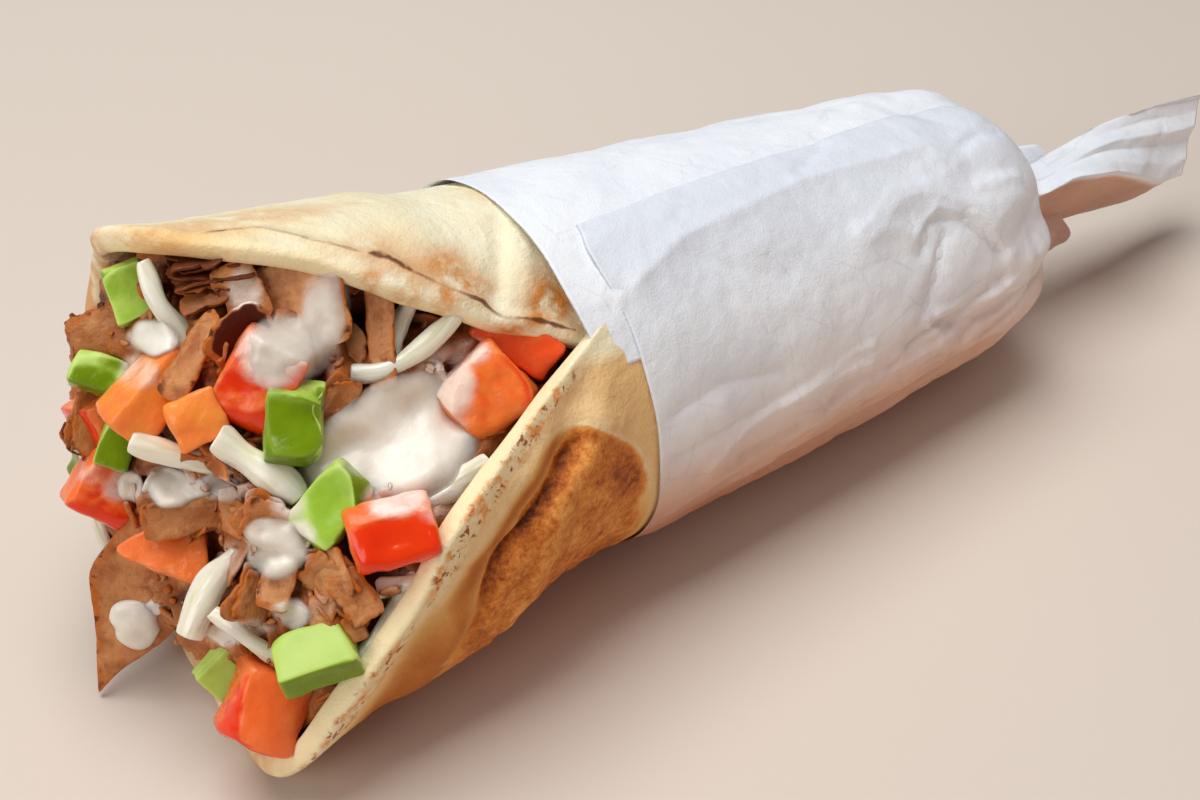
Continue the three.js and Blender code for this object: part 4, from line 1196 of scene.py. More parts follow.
# %% A sheet: two faces and a torn outline
def sheet_body(piece, rows, columns, lift=0.0, share=1.0):
    """A square grid pushed out to a torn, squared outline, thinned towards it, warped, bent and placed."""
    length, width, thick = piece["size"]
    seed, power = piece["seed"], piece.get("square", 5.0)
    u = np.sin(np.linspace(-1, 1, rows) * np.pi / 2)[:, None] + np.zeros(columns)
    v = np.sin(np.linspace(-1, 1, columns) * np.pi / 2)[None, :] + np.zeros((rows, 1))
    reach = np.maximum(np.maximum(np.abs(u), np.abs(v)), 1e-6)
    fit = (np.abs(u / reach) ** power + np.abs(v / reach) ** power) ** (-1 / power)
    if piece.get("cuts", 0):
        rng = np.random.default_rng(seed)
        way = 2 * np.pi * (np.arange(piece["cuts"]) + rng.uniform(0, 0.8, piece["cuts"])) / piece["cuts"]
        far = np.hypot(u, v) / reach
        lean = np.maximum((u[..., None] * np.cos(way) + v[..., None] * np.sin(way))
                          / (reach * far)[..., None], 0)
        cut = np.sum((lean / rng.uniform(0.7, 1.05, piece["cuts"])) ** 24, -1) ** (-1 / 24)
        fit = np.minimum(fit, cut / far)
    edge = np.stack([u / reach * fit * length / 2, v / reach * fit * width / 2, 0 * u + 3.7 * seed], -1)
    tear = 0.9 * lumps(edge, 4.2, 3, seed) + 0.7 * np.minimum(0, lumps(edge, 1.9, 2, seed + 1)) - 0.3
    tear = tear * piece.get("torn", 1.0)
    grow = share + reach**3 * tear / np.maximum(np.hypot(edge[..., 0], edge[..., 1]), 1)
    t = u * fit
    x, y = t * length / 2 * grow, v * fit * width / 2 * grow
    y = y * (1 - piece.get("taper", 0) * t - piece.get("belly", 0) * t**2)
    if "low" in piece:
        low, high = through(piece["low"], t), through(piece["high"], t)
        y = (low + high) / 2 + y / (width / 2) * (high - low) / 2
    flat = np.stack([x, y, 0 * x + 5.1 * seed], -1)
    warp = piece.get("warp", 0.4) * lumps(flat, 8, 2, seed + 2) + lift
    body = thick / 2 * (0.55 + 0.45 * (1 - reach**12)) * (1 + 0.25 * lumps(flat, 4.5, 2, seed + 3))
    coarse = 0.08 * lumps(flat, 2.4, 2, seed + 4) + 0.06 * lumps(flat, 0.9, 2, seed + 5)
    top = np.stack([x, y, warp + body + coarse], -1)
    below = np.stack([x, y, warp - body + coarse], -1)
    own = np.concatenate([top.reshape(-1, 3), below.reshape(-1, 3)])
    count = rows * columns
    upper = grid_faces(rows, columns, wrap=False)
    n = np.arange(count).reshape(rows, columns)
    ring = np.concatenate([n[0, :-1], n[:-1, -1], n[-1, :0:-1], n[:0:-1, 0]])
    after = np.roll(ring, -1)
    faces = [upper, upper[:, ::-1] + count, np.stack([after, ring, ring + count, after + count], -1)]
    points = placed(own, piece)
    faces = turn_outwards(points, faces)
    rim = smooth((reach + 0.16 * lumps(flat, 3, 2, seed + 6) - 0.74) / 0.26)
    return points, faces, own, np.concatenate([rim.ravel(), rim.ravel()])


# %% Two small lobes of paper beside the tail
LOBES = [  # middle, size, turn, and share of painted warm bounce light
    ((124.6, 3, 28.6), (22, 14, 0.5), -4, 0.1), ((132.2, -3.6, 15.4), (10, 8.5, 0.5), 14, 0.42),
]


def lobe_body(middle, size, turn, painted_bounce, seed):
    """A small crumpled sheet that stands beside the tail's start."""
    row = {"size": size, "turn": turn, "roll": -24, "curl": 30, "seed": seed, "torn": 0.25, "warp": 1.8,
           "square": 4.0, "spot": Face(middle, 12, 30), "lift": 0.0}
    points, faces, own, _ = sheet_body(row, rows=40, columns=30)
    # Each lobe has its own share of painted warm bounce light.
    return points, faces, {"unrolled": own * MM, "painted_bounce": np.full(len(points), painted_bounce)}


points, faces, masks = join_bodies([lobe_body(*row, 150 + i) for i, row in enumerate(LOBES)])
add_piece("paper_lobes", points, faces, PAPER_FINISH, ["paper_wrapper"], masks)

# %% A dice: what is left between flat cuts
SHARP = 12.0  # the power that makes a dice's edges sharp


def dice_body(piece, bumps):
    """p / (sum of (a.p)^n)^(1/n), with a = normal / distance of each cut: a body with soft corners."""
    length, width, thick = piece["size"]
    seed, taper = piece["seed"], piece.get("taper", 0)
    cuts = [[2 / length, 0, 0], [-2 / length, 0, 0], [2 * taper / length, 2 / width, 0],
            [2 * taper / length, -2 / width, 0], [0, 0, 2 / thick], [0, 0, -2 / thick]]
    face, turn = piece.get("face", FACE), piece_turn(piece)
    for right, up, out, share in piece.get("cuts", ()):
        normal = turn.T @ (np.array([right, up, out]) @ face.axes())
        normal /= np.linalg.norm(normal)
        cuts.append(normal / (share * np.abs(normal) @ np.array(piece["size"]) / 2))
    block = {"size": piece["size"], "ends": 1.0, "square": 6.0, "rough": 0.0}
    grid = strip_grid(block, rings=58, corners=76)
    own, faces = closed_grid(grid)
    parts = np.maximum(own @ np.array(cuts).T, 0) ** SHARP
    whole = parts.sum(1, keepdims=True)
    own = own / whole ** (1 / SHARP)
    edge = smooth((1 - parts.max(1) / whole[:, 0]) / 0.5)
    points = placed(own, piece)
    faces = turn_outwards(points, faces)
    normals = point_normals(points, faces)
    bump = bumps * lumps(own, 2.2, 2, seed) + 0.42 * lumps(own, 6, 2, seed + 2) - 0.14
    points = points + normals * bump[:, None]
    for right, up, out, radius, depth in piece.get("dents", ()):
        spot = piece_spot(piece) + np.array([right, up, out]) @ face.axes()
        way = np.linalg.norm(points - spot, axis=1) / radius
        points = points - normals * (depth * bell(way))[:, None]
    normals = point_normals(points, faces)
    look = np.array(piece["skin"]) @ face.axes()
    skin = smooth((normals @ look / np.linalg.norm(look) - piece.get("skin_from", 0.6)) / 0.16)
    tone = np.full(len(points), piece.get("tone", 0.5))
    masks = {"own": own * MM, "skin": skin, "edge": edge, "tone": tone, "film": film_mask(points, normals)}
    return points, faces, masks


# %% [markdown]
# ## Where the sauce ran
#
# Garlic sauce lies in three thick pools, in drops, and as a thin film on whatever it touched. The film is a
# mask: a list of soft spots on the open face, each reaching only the upper side of the pieces under it.

# %% Film of sauce
FILM = [  # right, up, half width, half height, strength
    (-6, 23, 8.5, 7, 1.0), (1.4, 26, 4, 10, 0.9), (-28, 26.6, 5, 3, 0.8), (21, 14.5, 6, 8, 1.0),
    (26, 19, 5, 3, 0.7), (10.5, -2.6, 6.4, 3.8, 1.0), (-35.5, 1.4, 5, 4, 0.8), (-40, 4, 4, 3, 0.6),
    (-26.4, 1.6, 6, 4, 0.9), (-17.4, 0.6, 6, 3, 0.8), (-10.2, -9.5, 6.5, 5.5, 1.0), (-6, -7.5, 3.6, 4, 0.9),
    (-30, -17, 5, 5, 0.2), (-21.1, -25.3, 5, 3, 0.8), (-3.8, -19.7, 5, 4, 0.4), (9.9, -17.9, 6, 4, 0.45),
    (17.8, -5, 6, 3.5, 0.7), (-29.9, 21.3, 5, 4, 0.7), (12, 6.8, 13, 8, 1.0), (-7, -2, 4, 4, 0.8),
    (-17.9, -11, 5, 4, 0.6), (-25.6, -20.5, 4, 4, 0.7), (-16.7, -23.3, 6, 3, 0.6), (2.4, -38, 4, 3, 0.8),
    (17, 26, 6, 3, 0.4), (-10.6, 33.2, 3.6, 5, 1.0), (2, 31, 4, 4, 0.45),
]


def film_mask(points, normals):
    """The strongest soft spot at each point, kept to faces that look out or up."""
    right, up, _ = np.moveaxis(FACE.measure(points), -1, 0)
    best = np.zeros(len(points))
    for r, u, wide, high, strength in FILM:
        way = np.hypot((right - r) / wide, (up - u) / high)
        best = np.maximum(best, strength * smooth(1.35 - way))
    facing = smooth((normals @ (FACE.out + [0, 0, 0.5]) + 0.1) / 0.7)
    return best * facing * (0.9 + 0.25 * lumps(points, 5, 2, 61))


# %% [markdown]
# ## Doner meat
#
# Doner is shaved from a roasting stack: broad thin slices with browned, ragged edges and a grain of short
# fibres. Under the slices lies the heap itself, made craggy with lumps of several sizes, and chips and crumbs
# fill the gaps. One finish serves all of them, and a mask marks the browned rims.

# %% Meat finish
def make_meat_finish():
    """Brown with lighter fibres, small pits, browned rims, and painted shade in the hollows."""
    material, tree, shader, place = new_material(
        "roasted meat", Subsurface_Weight=0.1, Subsurface_Radius=(1.0, 0.4, 0.2), Subsurface_Scale=0.003,
        Coat_Weight=0.06, Coat_Roughness=0.15, Specular_IOR_Level=0.2
    )
    own = node(tree, "Attribute", "Vector", attribute_name="own")
    fibres = noise(stretched(own, 160, 520), 1.0, 5, 0.6)
    light = blend(mask(tree, "tone"), colour(164, 94, 48), colour(214, 148, 92))
    clouds = cloudy(place, colour(160, 88, 40), light, 200.0, 0.3, 0.62)
    tint = blend(step(fibres, 0.52, 0.72) * 0.6, clouds, colour(218, 158, 106))
    pits = step(noise(place, 1000, 4, 0.6), 0.55, 0.7)
    tint = blend(pits * 0.35, tint, colour(132, 70, 34))
    browning = mask(tree, "rim") * step(noise(place, 330, 4), 0.3, 0.6)
    tint = blend(browning, tint, colour(188, 98, 26))
    scorched = mask(tree, "rim") * step(noise(place, 480, 4), 0.54, 0.66)
    tint = blend(scorched, tint, colour(96, 44, 16))
    # Painted shade: the deep mask darkens hollows and slices that lie in shade.
    tint = blend(mask(tree, "deep"), tint, colour(78, 26, 14))
    rough = 0.34 + pits * 0.25
    tint, rough, film = under_sauce(place, tint, rough)
    finish(shader, tint, rough, fine_relief(place, 800.0, 2600.0) + film, 0.0003)
    return material


MEAT_FINISH = make_meat_finish()

# %% Build the heap
CORE_AROUND, CORE_STEPS = 330, 110
# right, up, half width, half height, depth
PITS = [(15, 27.5, 8, 4.2, 7), (7, 24, 2.6, 6, 5), (-21.5, 34.3, 3, 3, 4), (-10.8, 26, 5, 4.5, 4),
        (-16, -1, 3, 2.5, 3)]


def build_core():
    """The heap's smooth front raised by crags: ridged lumps, as packed shreds leave, and small crumbs."""
    angle = np.linspace(0, 360, CORE_AROUND, endpoint=False)[None, :]
    share = np.linspace(1, 0.01, CORE_STEPS)[:, None]
    cap = filling_point(angle, share)
    side = np.stack([meat_side(filling_edge(angle) + (MEAT_END_X - filling_edge(angle)) * s, angle)[0]
                     for s in (1, 0.7, 0.4, 0.15, 0.05, 0.02)])
    grid = np.concatenate([side, cap])
    inner = grid.reshape(-1, 3)
    rows = len(grid)
    points = np.concatenate([inner, side[0].mean(0)[None], cap[-1].mean(0)[None]])
    faces = [grid_faces(rows, CORE_AROUND)]
    faces.append(fan_faces(len(inner), 0, CORE_AROUND))
    faces.append(fan_faces(len(inner) + 1, len(inner) - CORE_AROUND, CORE_AROUND)[:, ::-1])
    faces = turn_outwards(points, faces)
    normals = point_normals(points, faces)
    on_cap = np.zeros(len(points))
    on_cap[len(side) * CORE_AROUND : len(inner)] = np.repeat(smooth((1 - share[:, 0]) / 0.05), CORE_AROUND)
    on_cap[-1] = 1
    shreds = 1 - 2 * np.abs(lumps(points * [1, 1.6, 0.8], 7, 2, 71))
    rise = 1.5 * shreds + 0.8 * lumps(points, 2.6, 3, 73) - 0.9
    moved = points + normals * (rise * on_cap)[:, None]
    right, up, _ = FACE.measure(moved).T
    pit = sum(d * bell((right - r) / a) * bell((up - u) / b) for r, u, a, b, d in PITS) * on_cap
    moved = moved - pit[:, None] * FACE.out
    # Painted shade in the crevices between shreds and in the pits.
    deep = np.maximum(smooth((0.1 - shreds) / 0.9) * 0.85, smooth((pit - 0.5) / 3))
    masks = {"own": points * MM, "rim": smooth((shreds - 0.55) / 0.4) * 0.5, "deep": deep * on_cap,
             "tone": 0.25 + 0.2 * grain(points, 6, 77), "film": film_mask(moved, normals) * (1 - deep)}
    add_piece("meat_heap", moved, faces, MEAT_FINISH, ["doner_meat"], masks)
    return moved[len(side) * CORE_AROUND :], normals[len(side) * CORE_AROUND :]


heap_points, heap_normals = build_core()

# %% [markdown]
# The slices lie where the solids have them. Each is drawn as a thin sheet, or as two or three of them stacked
# with torn edges that don't match, which is how shaved meat falls.

# %% Slices
HANGING = {"size": (45, 20, 2.6), "torn": 0.3, "warp": 0.6, "square": 6.0, "tone": 0.75,
           "low": [(-1, -1), (-0.65, -3.2), (-0.1, -7.6), (0.23, -5.6), (1, -1.6)],
           "high": [(-1, 4), (-0.35, 10.1), (0, 10.6), (0.3, 9), (0.7, 2.6), (1, -1)]}


def slice_of(at, size, **more):
    """A slice's row: square edges unless the row says otherwise."""
    return {"square": 6.0, "at": at, "size": size, "layers": 2, "tone": 0.5, **more}


SLICES = [
    slice_of((-15.5, 38.6, 1), rest=(-15, 33), size=(15, 9, 2.4), turn=-4, roll=-66, curl=16, layers=3,
             tone=0.2, shade=0.95, torn=1.6),
    slice_of((-16.5, 35.6, 1.2), rest=(-15, 33), size=(11, 7, 2.4), turn=-12, roll=-58, curl=-24, layers=3,
             tone=0.3, shade=0.7, torn=1.6),
    slice_of((-17.5, 32.4, 1.4), size=(9, 5, 1.8), turn=20, roll=-40, curl=30, layers=1, tone=0.5,
             shade=0.3, torn=1.2),
    slice_of((-11.2, 33.2, 2.6), size=(11, 8, 1.8), turn=-72, curl=24, tone=1.0, torn=0.6, layers=1),
    slice_of((-1.4, 30.2, 2.6), size=(15, 16, 1.9), turn=-86, roll=14, curl=-16, layers=1, tone=1.0,
             torn=0.4, square=7),
    slice_of((-20.2, 23.6, 4.2), size=(17, 5.4, 1.9), turn=54, roll=-24, curl=14, layers=1, tone=0.8,
             torn=0.6, square=4, taper=0.3),
    slice_of((-12.4, 26.4, 2.6), size=(13.5, 9, 1.7), turn=40, roll=34, curl=64, layers=1, tone=0.4,
             torn=0.6, hollow=1),
    slice_of((11.2, 24, 2.2), size=(20, 5, 1.8), turn=87, roll=-14, curl=10, layers=1, tone=0.7, torn=0.35,
             square=8),
    slice_of((-36, 27.4, 2.5), size=(13, 10.5, 2.6), turn=14, pitch=16, curl=-20, tone=0.5),
    slice_of((-39.6, 12.6, 1), size=(14, 9, 2.6), turn=70, roll=20, tone=0.6),
    slice_of((-37.4, -18.4, -12), rest=(-27, -5), turn=250, pitch=-24, curl=12, layers=1, **HANGING),
    slice_of((-22.4, -3.4, 2.4), size=(21, 8, 2.6), turn=-2, roll=10, curl=-16, tone=0.6),
    slice_of((-9.4, -5.6, 2), size=(15, 8.5, 2.6), turn=-36, curl=20, tone=0.5),
    slice_of((-14.6, -17.4, 1.4), size=(11, 8, 2.8), turn=58, roll=30, tone=0.5),
    slice_of((-1.8, -15.4, 2), size=(12, 8.5, 3), turn=-60, roll=26, curl=24, tone=0.7),
    slice_of((0.6, -20.6, 2), size=(9, 7, 2.6), turn=-50, roll=-38, curl=-20, tone=0.9),
    slice_of((1.4, 12, 1), size=(14, 7, 2.4), turn=46, roll=24, tone=0.4),
    slice_of((-1.6, -14.4, 4.0), size=(9, 6.5, 1.8), turn=-75, roll=22, layers=1, tone=1, torn=0.35,
             square=7),
    slice_of((2.0, -18.4, 4.2), size=(10, 6.5, 1.8), turn=-62, roll=-8, layers=1, tone=1.1, torn=0.5,
             square=8),
    slice_of((-3.6, -21.6, 3.4), size=(7.5, 5, 1.8), turn=-100, roll=28, layers=1, tone=1, torn=0.35,
             square=7),
    slice_of((1.4, -23.8, 3.4), size=(5, 3.6, 1.6), turn=-70, roll=-18, layers=1, tone=0.8, torn=0.35,
             square=7),
    slice_of((-10.5, -15.2, 2.6), size=(9, 6, 1.8), turn=70, roll=-20, layers=1, tone=0.9, torn=0.35,
             square=6),
    slice_of((-30, 6, -2), face=END, size=(20, 12, 2.6), turn=80, roll=16, curl=16),
    slice_of((-24, 20, -2), face=END, size=(16, 11, 2.6), turn=-30, roll=-14, curl=-12),
    slice_of((-8, -9, -2), face=END, size=(18, 12, 2.6), turn=24, pitch=12, curl=18),
]


def meat_sheet(piece, rows, columns, lift=0.0, share=1.0):
    """A sheet with the masks that the meat's finish reads."""
    points, faces, own, rim = sheet_body(piece, rows, columns, lift, share)
    tone = np.full(len(points), piece["tone"]) + 0.15 * lumps(own, 5, 1, piece["seed"])
    film = film_mask(points, point_normals(points, faces))
    inside = np.arange(len(own)) < len(own) // 2
    # Painted shade: inside a curled slice, and over a whole slice by its shade value.
    deep = np.maximum(piece.get("hollow", 0) * inside * (1 - smooth(rim * 1.6)) * 1.6, piece.get("shade", 0))
    return points, faces, {"own": own * MM, "rim": rim, "deep": deep, "tone": tone,
                           "film": film * (1 - np.clip(deep, 0, 1))}


def stacked(piece, seed):
    """One slice as its layers, each a little smaller and turned a little."""
    layers = piece["layers"]
    length, width, thick = piece["size"]
    thin = {1: 0.6, 2: 0.36, 3: 0.26}[layers] * thick
    bodies = []
    for k in range(layers):
        row = {**piece, "size": (length, width, thin), "seed": seed + 31 * k,
               "turn": piece.get("turn", 0) + 7 * k}
        lift = (k - (layers - 1) / 2) * thick * 0.5
        bodies.append(meat_sheet(row, 48, 22, lift, 1 - 0.1 * (k % 2)))
    return bodies


slice_bodies = [body for i, piece in enumerate(SLICES) for body in stacked(piece, 80 + i)]
points, faces, masks = join_bodies(slice_bodies)
add_piece("meat_slices", points, faces, MEAT_FINISH, ["doner_meat"], masks)

# %% [markdown]
# Smaller flakes fill the gaps between the slices. They follow the same drawing at random places on the heap,
# with random turns, sizes and bends from a seeded generator.

# %% Flakes
def flake_bodies(count, seed):
    """Thin torn sheets tilted out of the heap's surface."""
    rng = np.random.default_rng(seed)
    bodies = []
    for k in range(count):
        pick = rng.integers(0, len(heap_points))
        face = Face(heap_points[pick], 0, 0)
        out = heap_normals[pick] + 0.55 * rng.normal(size=3)
        face.out = out / np.linalg.norm(out)
        side = np.cross(face.out, rng.normal(size=3))
        face.right = side / np.linalg.norm(side)
        face.up = np.cross(face.out, face.right)
        size = (rng.uniform(5, 12), rng.uniform(3, 6.5), rng.uniform(0.6, 1.1))
        row = {"size": size, "seed": seed + k, "square": 7.0, "torn": 0.5, "cuts": 4,
               "curl": rng.uniform(-60, 60), "warp": 0.4,
               "tone": rng.uniform(0.1, 0.9), "spot": face, "lift": rng.uniform(0.0, 1.4)}
        bodies.append(meat_sheet(row, rows=26, columns=13))
    return bodies


points, faces, masks = join_bodies(flake_bodies(count=90, seed=300))
add_piece("meat_flakes", points, faces, MEAT_FINISH, ["doner_meat"], masks)

# %% [markdown]
# Crumbs are hundreds of small lumps, so each has only a few dozen faces. They are drawn as one array: a
# random place on the heap, a random turn, and a size between two limits.

# %% Crumbs
def scatter(name, count, longest, flatness, seed):
    """Copies of one small block, each with its own size, turn and place on the heap, as one mesh."""
    rng = np.random.default_rng(seed)
    block = {"size": (2, 2, 2), "square": 3.5, "ends": 0.9, "rough": 0.25, "seed": seed}
    unit, faces = closed_grid(strip_grid(block, rings=4, corners=8, end_power=4.0))
    pick = rng.integers(0, len(heap_points), count)
    spots, out = heap_points[pick], heap_normals[pick]
    shares = np.stack([np.ones(count), rng.uniform(0.45, 0.85, count),
                       flatness * rng.uniform(0.7, 1.3, count)], 1)
    size = longest * rng.uniform(0.35, 1, (count, 1)) * shares / 2
    side = np.cross(out, rng.normal(size=(count, 3)))
    side /= np.linalg.norm(side, axis=1, keepdims=True)
    third = np.cross(side, out + 0.5 * rng.normal(size=(count, 3)))
    third /= np.linalg.norm(third, axis=1, keepdims=True)
    axes = np.stack([side, third, np.cross(side, third)], 1)
    own = unit[None] * size[:, None]
    lumpy = own * (1 + 0.3 * lumps(unit[None] * 2.3 + 9 * rng.random((count, 1, 1)), 1.5, 2, seed)[..., None])
    points = (lumpy @ axes + (spots + out * (0.35 * size[:, 2:] + 0.2))[:, None]).reshape(-1, 3)
    starts = np.arange(count)[:, None, None] * len(unit)
    all_faces = [(f[None] + starts).reshape(-1, f.shape[1]) for f in faces]
    rim = np.repeat(rng.random(count) * 0.9, len(unit))
    film = 0.8 * film_mask(points, point_normals(points, all_faces))
    masks = {"own": own.reshape(-1, 3) * MM, "rim": rim, "deep": 0 * rim, "tone": 1 - rim, "film": film}
    add_piece(name, points, all_faces, MEAT_FINISH, ["doner_meat"], masks)


scatter("meat_crumbs", count=420, longest=2.2, flatness=0.6, seed=6)

# %% [markdown]
# ## Tomato
#
# A dice of tomato has wet cut faces, orange and slightly grainy, and often one side of smooth red skin. The
# rows are the solids' rows, with the direction in which the skin looks added. Ripe flesh glows, because light
# goes under its surface, mostly the red part of it.

# %% Tomato
TOMATOES = [  # cuts: direction right, up and out, and how far out it leaves the block
    dict(at=(-28.2, 18.1, 2), size=(17, 9, 9), turn=44, roll=20, taper=0.15, skin=(0.4, -1, -0.6),
     tone=0.95, cuts=[(-0.5, 0.5, 0.7, 0.8), (0.3, -0.6, 0.7, 0.86)]),
    dict(at=(-20.5, 13, 1.5), size=(9, 9, 9), turn=-72, skin=(1, -0.3, -0.6), tone=1.0,
     cuts=[(-0.4, 0.4, 0.8, 0.82), (0.5, -0.3, 0.8, 0.84)]),
    dict(at=(-9.9, 18.1, 1.2), size=(17, 12.5, 10), turn=54, pitch=12, skin=(-0.35, -1, 0.45), tone=0.3,
     cuts=[(-0.35, -0.75, 0.55, 0.74), (0.1, 0.6, 0.8, 0.86)], skin_from=0.45),
    dict(at=(28.1, 11.7, 2.5), size=(14.5, 14, 12), turn=38, skin=(0.5, 0.1, 0.9), tone=0.6,
     cuts=[(-0.75, 0.35, 0.55, 0.74), (0.2, -0.8, 0.55, 0.8), (0.8, 0.15, 0.55, 0.8), (0.1, 0.8, 0.6, 0.84)],
     skin_from=0.86),
    dict(at=(34.6, 20, 0), size=(16, 8, 8), turn=-40, skin=(0, 1, 0.2), tone=0.1, cuts=[]),
    dict(at=(9.3, -8.6, 3), size=(15, 12, 11), turn=8, roll=-12, skin=(0.1, -0.75, 0.8), tone=0.4,
     cuts=[(-0.1, 0.75, 0.65, 0.72), (0.05, -0.5, 0.86, 0.9), (-0.75, -0.3, 0.6, 0.84)], skin_from=0.35),
    dict(at=(-38.6, 1, 1), size=(12, 12, 10), turn=-36, pitch=-14, skin=(-0.1, -1, 0.4), tone=0.4,
     cuts=[(0.1, 0.7, 0.7, 0.8), (-0.1, -0.7, 0.7, 0.78)], skin_from=0.4),
    dict(at=(-29.7, -9.6, 4.5), size=(16, 8.5, 5.5), turn=176, taper=0.75, roll=14, skin=(0, 0, -1),
     tone=0.6, cuts=[(0.1, 0.7, 0.7, 0.84)], skin_from=0.9),
    dict(at=(-14.6, -37.4, 3), size=(14.5, 13.5, 11), turn=62, roll=10, skin=(-0.9, -0.35, 0.4),
     tone=0.4, cuts=[(-0.75, 0.15, 0.65, 0.74), (0.6, -0.25, 0.75, 0.8), (0.1, 0.8, 0.6, 0.86)],
     skin_from=0.6),
    dict(at=(-19, 1, -2.5), size=(15, 12, 9), turn=30, roll=10, face=END, skin=(0, 0, 1),
     cuts=[(0.6, 0.3, 0.7, 0.8)]),
]


def make_tomato_finish():
    """Orange flesh with pale streaks, and smooth red skin."""
    material, tree, shader, place = new_material(
        "tomato", Subsurface_Weight=0.4, Subsurface_Radius=(1.0, 0.35, 0.12), Subsurface_Scale=0.004,
        Coat_Weight=0.22, Coat_Roughness=0.08, Specular_IOR_Level=0.3
    )
    own = node(tree, "Attribute", "Vector", attribute_name="own")
    streaks = noise(stretched(own, 90, 240), 1.0, 4, 0.55)
    warm = blend(mask(tree, "tone"), colour(242, 76, 28), colour(254, 148, 60))
    flesh = cloudy(place, warm, colour(250, 124, 62), 160.0, 0.4, 0.75)
    tint = blend(step(streaks, 0.56, 0.8) * 0.7, flesh, colour(250, 176, 116))
    red = blend(noise(place, 130, 3), colour(226, 34, 2), colour(244, 72, 6))
    tint = blend(mask(tree, "skin"), tint, red)
    rough = 0.3 - mask(tree, "skin") * 0.14
    tint, rough, film = under_sauce(place, tint, rough)
    relief = fine_relief(place, 480.0, 1500.0)
    on_flesh = relief * (1.05 - mask(tree, "skin"))
    finish(shader, tint, rough, on_flesh + film, 0.0003)
    return material


def add_dice(name, rows, material, seed, bumps):
    """One object for each row, over its own node."""
    bodies = [dice_body({**row, "seed": seed + i}, bumps) for i, row in enumerate(rows)]
    for i, (points, faces, masks) in enumerate(bodies):
        add_piece(f"{name}_{i + 1}", points, faces, material, [f"{name.split('_')[0]}_{i + 1}"], masks)
    return bodies


tomato_bodies = add_dice("tomato_dice", TOMATOES, make_tomato_finish(), seed=20, bumps=0.16)

# %% [markdown]
# ## Green pepper
#
# Pepper is a curved wall with a glossy dark skin outside, pale flesh inside and bright cut edges, partly a
# painted highlight. The skin mask is again a direction, so that each square shows its skin on the side that
# it has in the heap.

# %% Pepper
PEPPERS = [
    dict(at=(-30.2, 34.6, 3), size=(10.5, 7.5, 4), turn=-76, curl=30, skin=(-1, 0.2, 0.2), tone=0.6,
     cuts=[(-0.6, 0.6, 0.5, 0.84)]),
    dict(at=(-37, 21.2, 2), size=(9.5, 6.5, 5), turn=-24, roll=-20, skin=(0, -0.5, 0.8), tone=0.5,
     cuts=[(0.1, 0.7, 0.7, 0.8)], skin_from=0.5),
    dict(at=(-35.4, 9.1, 2.5), size=(9.5, 6.5, 5), turn=66, curl=20, skin=(0.4, -0.4, 0.8), tone=0.4,
     cuts=[(-0.6, 0.5, 0.6, 0.8)], skin_from=0.5),
    dict(at=(-4.6, 11, 4.5), size=(14, 10.5, 6), turn=80, pitch=-8, curl=36, skin=(-0.3, -0.3, 0.9),
     tone=0.5, cuts=[(0.2, 0.8, 0.6, 0.7), (-0.7, -0.1, 0.7, 0.78), (0.6, -0.75, 0.2, 0.8)],
     dents=[(6, 1.5, 1.5, 3.2, 2.4)], skin_from=0.35),
    dict(at=(-0.1, -3.2, 3), size=(14, 9.5, 5), turn=46, roll=-16, curl=20, skin=(0.75, 0.1, 0.62),
     tone=0.1, cuts=[(-0.6, 0.1, 0.8, 0.7), (0.75, 0.1, 0.62, 0.62), (-0.4, 0.9, 0.2, 0.82)],
     dents=[(1.8, 1.2, 3, 3.4, 0.7)], skin_from=0.66),
    dict(at=(-5.2, -27.9, 3.6), size=(14.4, 9, 7.6), turn=12, roll=-40, skin=(0, -0.79, 0.62), tone=0.05,
     cuts=[(-0.62, 0.75, 0.25, 0.8), (0.78, 0.6, 0.2, 0.76), (-0.1, 0.6, 0.8, 0.9)], skin_from=0.6),
    dict(at=(-21.4, -31.8, 1.5), size=(10, 7.5, 4.5), turn=40, roll=10, skin=(-1, -0.6, 0), tone=0.8,
     cuts=[(-0.4, 0.5, 0.7, 0.84)]),
    dict(at=(-27, -15, 0), size=(12, 9, 5), turn=60, curl=24, face=END, skin=(0, 0, 1), cuts=[]),
]


def make_pepper_finish():
    """Pale green flesh with lighter edges, partly a painted highlight, and dark green skin."""
    material, tree, shader, place = new_material(
        "green pepper", Subsurface_Weight=0.25, Subsurface_Radius=(0.5, 1.0, 0.15), Subsurface_Scale=0.0025,
        Coat_Weight=0.12, Coat_Roughness=0.06, Specular_IOR_Level=0.15
    )
    light = blend(mask(tree, "tone"), colour(146, 186, 44), colour(196, 218, 110))
    flesh = cloudy(place, light, colour(150, 188, 52), 200.0, 0.42, 0.75)
    green = blend(noise(place, 160, 3), colour(86, 112, 6), colour(130, 160, 16))
    tint = blend(mask(tree, "skin"), flesh, green)
    # Lighter cut edges: the flesh's own paleness and partly a painted highlight along them.
    pale_edge_and_highlight = mask(tree, "edge") * (0.6 - mask(tree, "skin") * 0.5)
    tint = blend(pale_edge_and_highlight, tint, colour(206, 224, 128))
    rough = 0.32 - mask(tree, "skin") * 0.16
    tint, rough, film = under_sauce(place, tint, rough)
    finish(shader, tint, rough, fine_relief(place, 380.0, 1600.0) + film, 0.0002)
    return material


pepper_bodies = add_dice("pepper_square", PEPPERS, make_pepper_finish(), seed=10, bumps=0.07)

# %% [markdown]
# ## Onion
#
# Onion strips are cut from thin curved layers. They are nearly clear, with fine lines along them, and what
# light they send back comes from inside.

# %% Onion
def strip_of(at, size, **more):
    """An onion strip's row: a soft section and narrowed ends."""
    return {"square": 4.5, "ends": 0.92, "at": at, "size": size, **more}


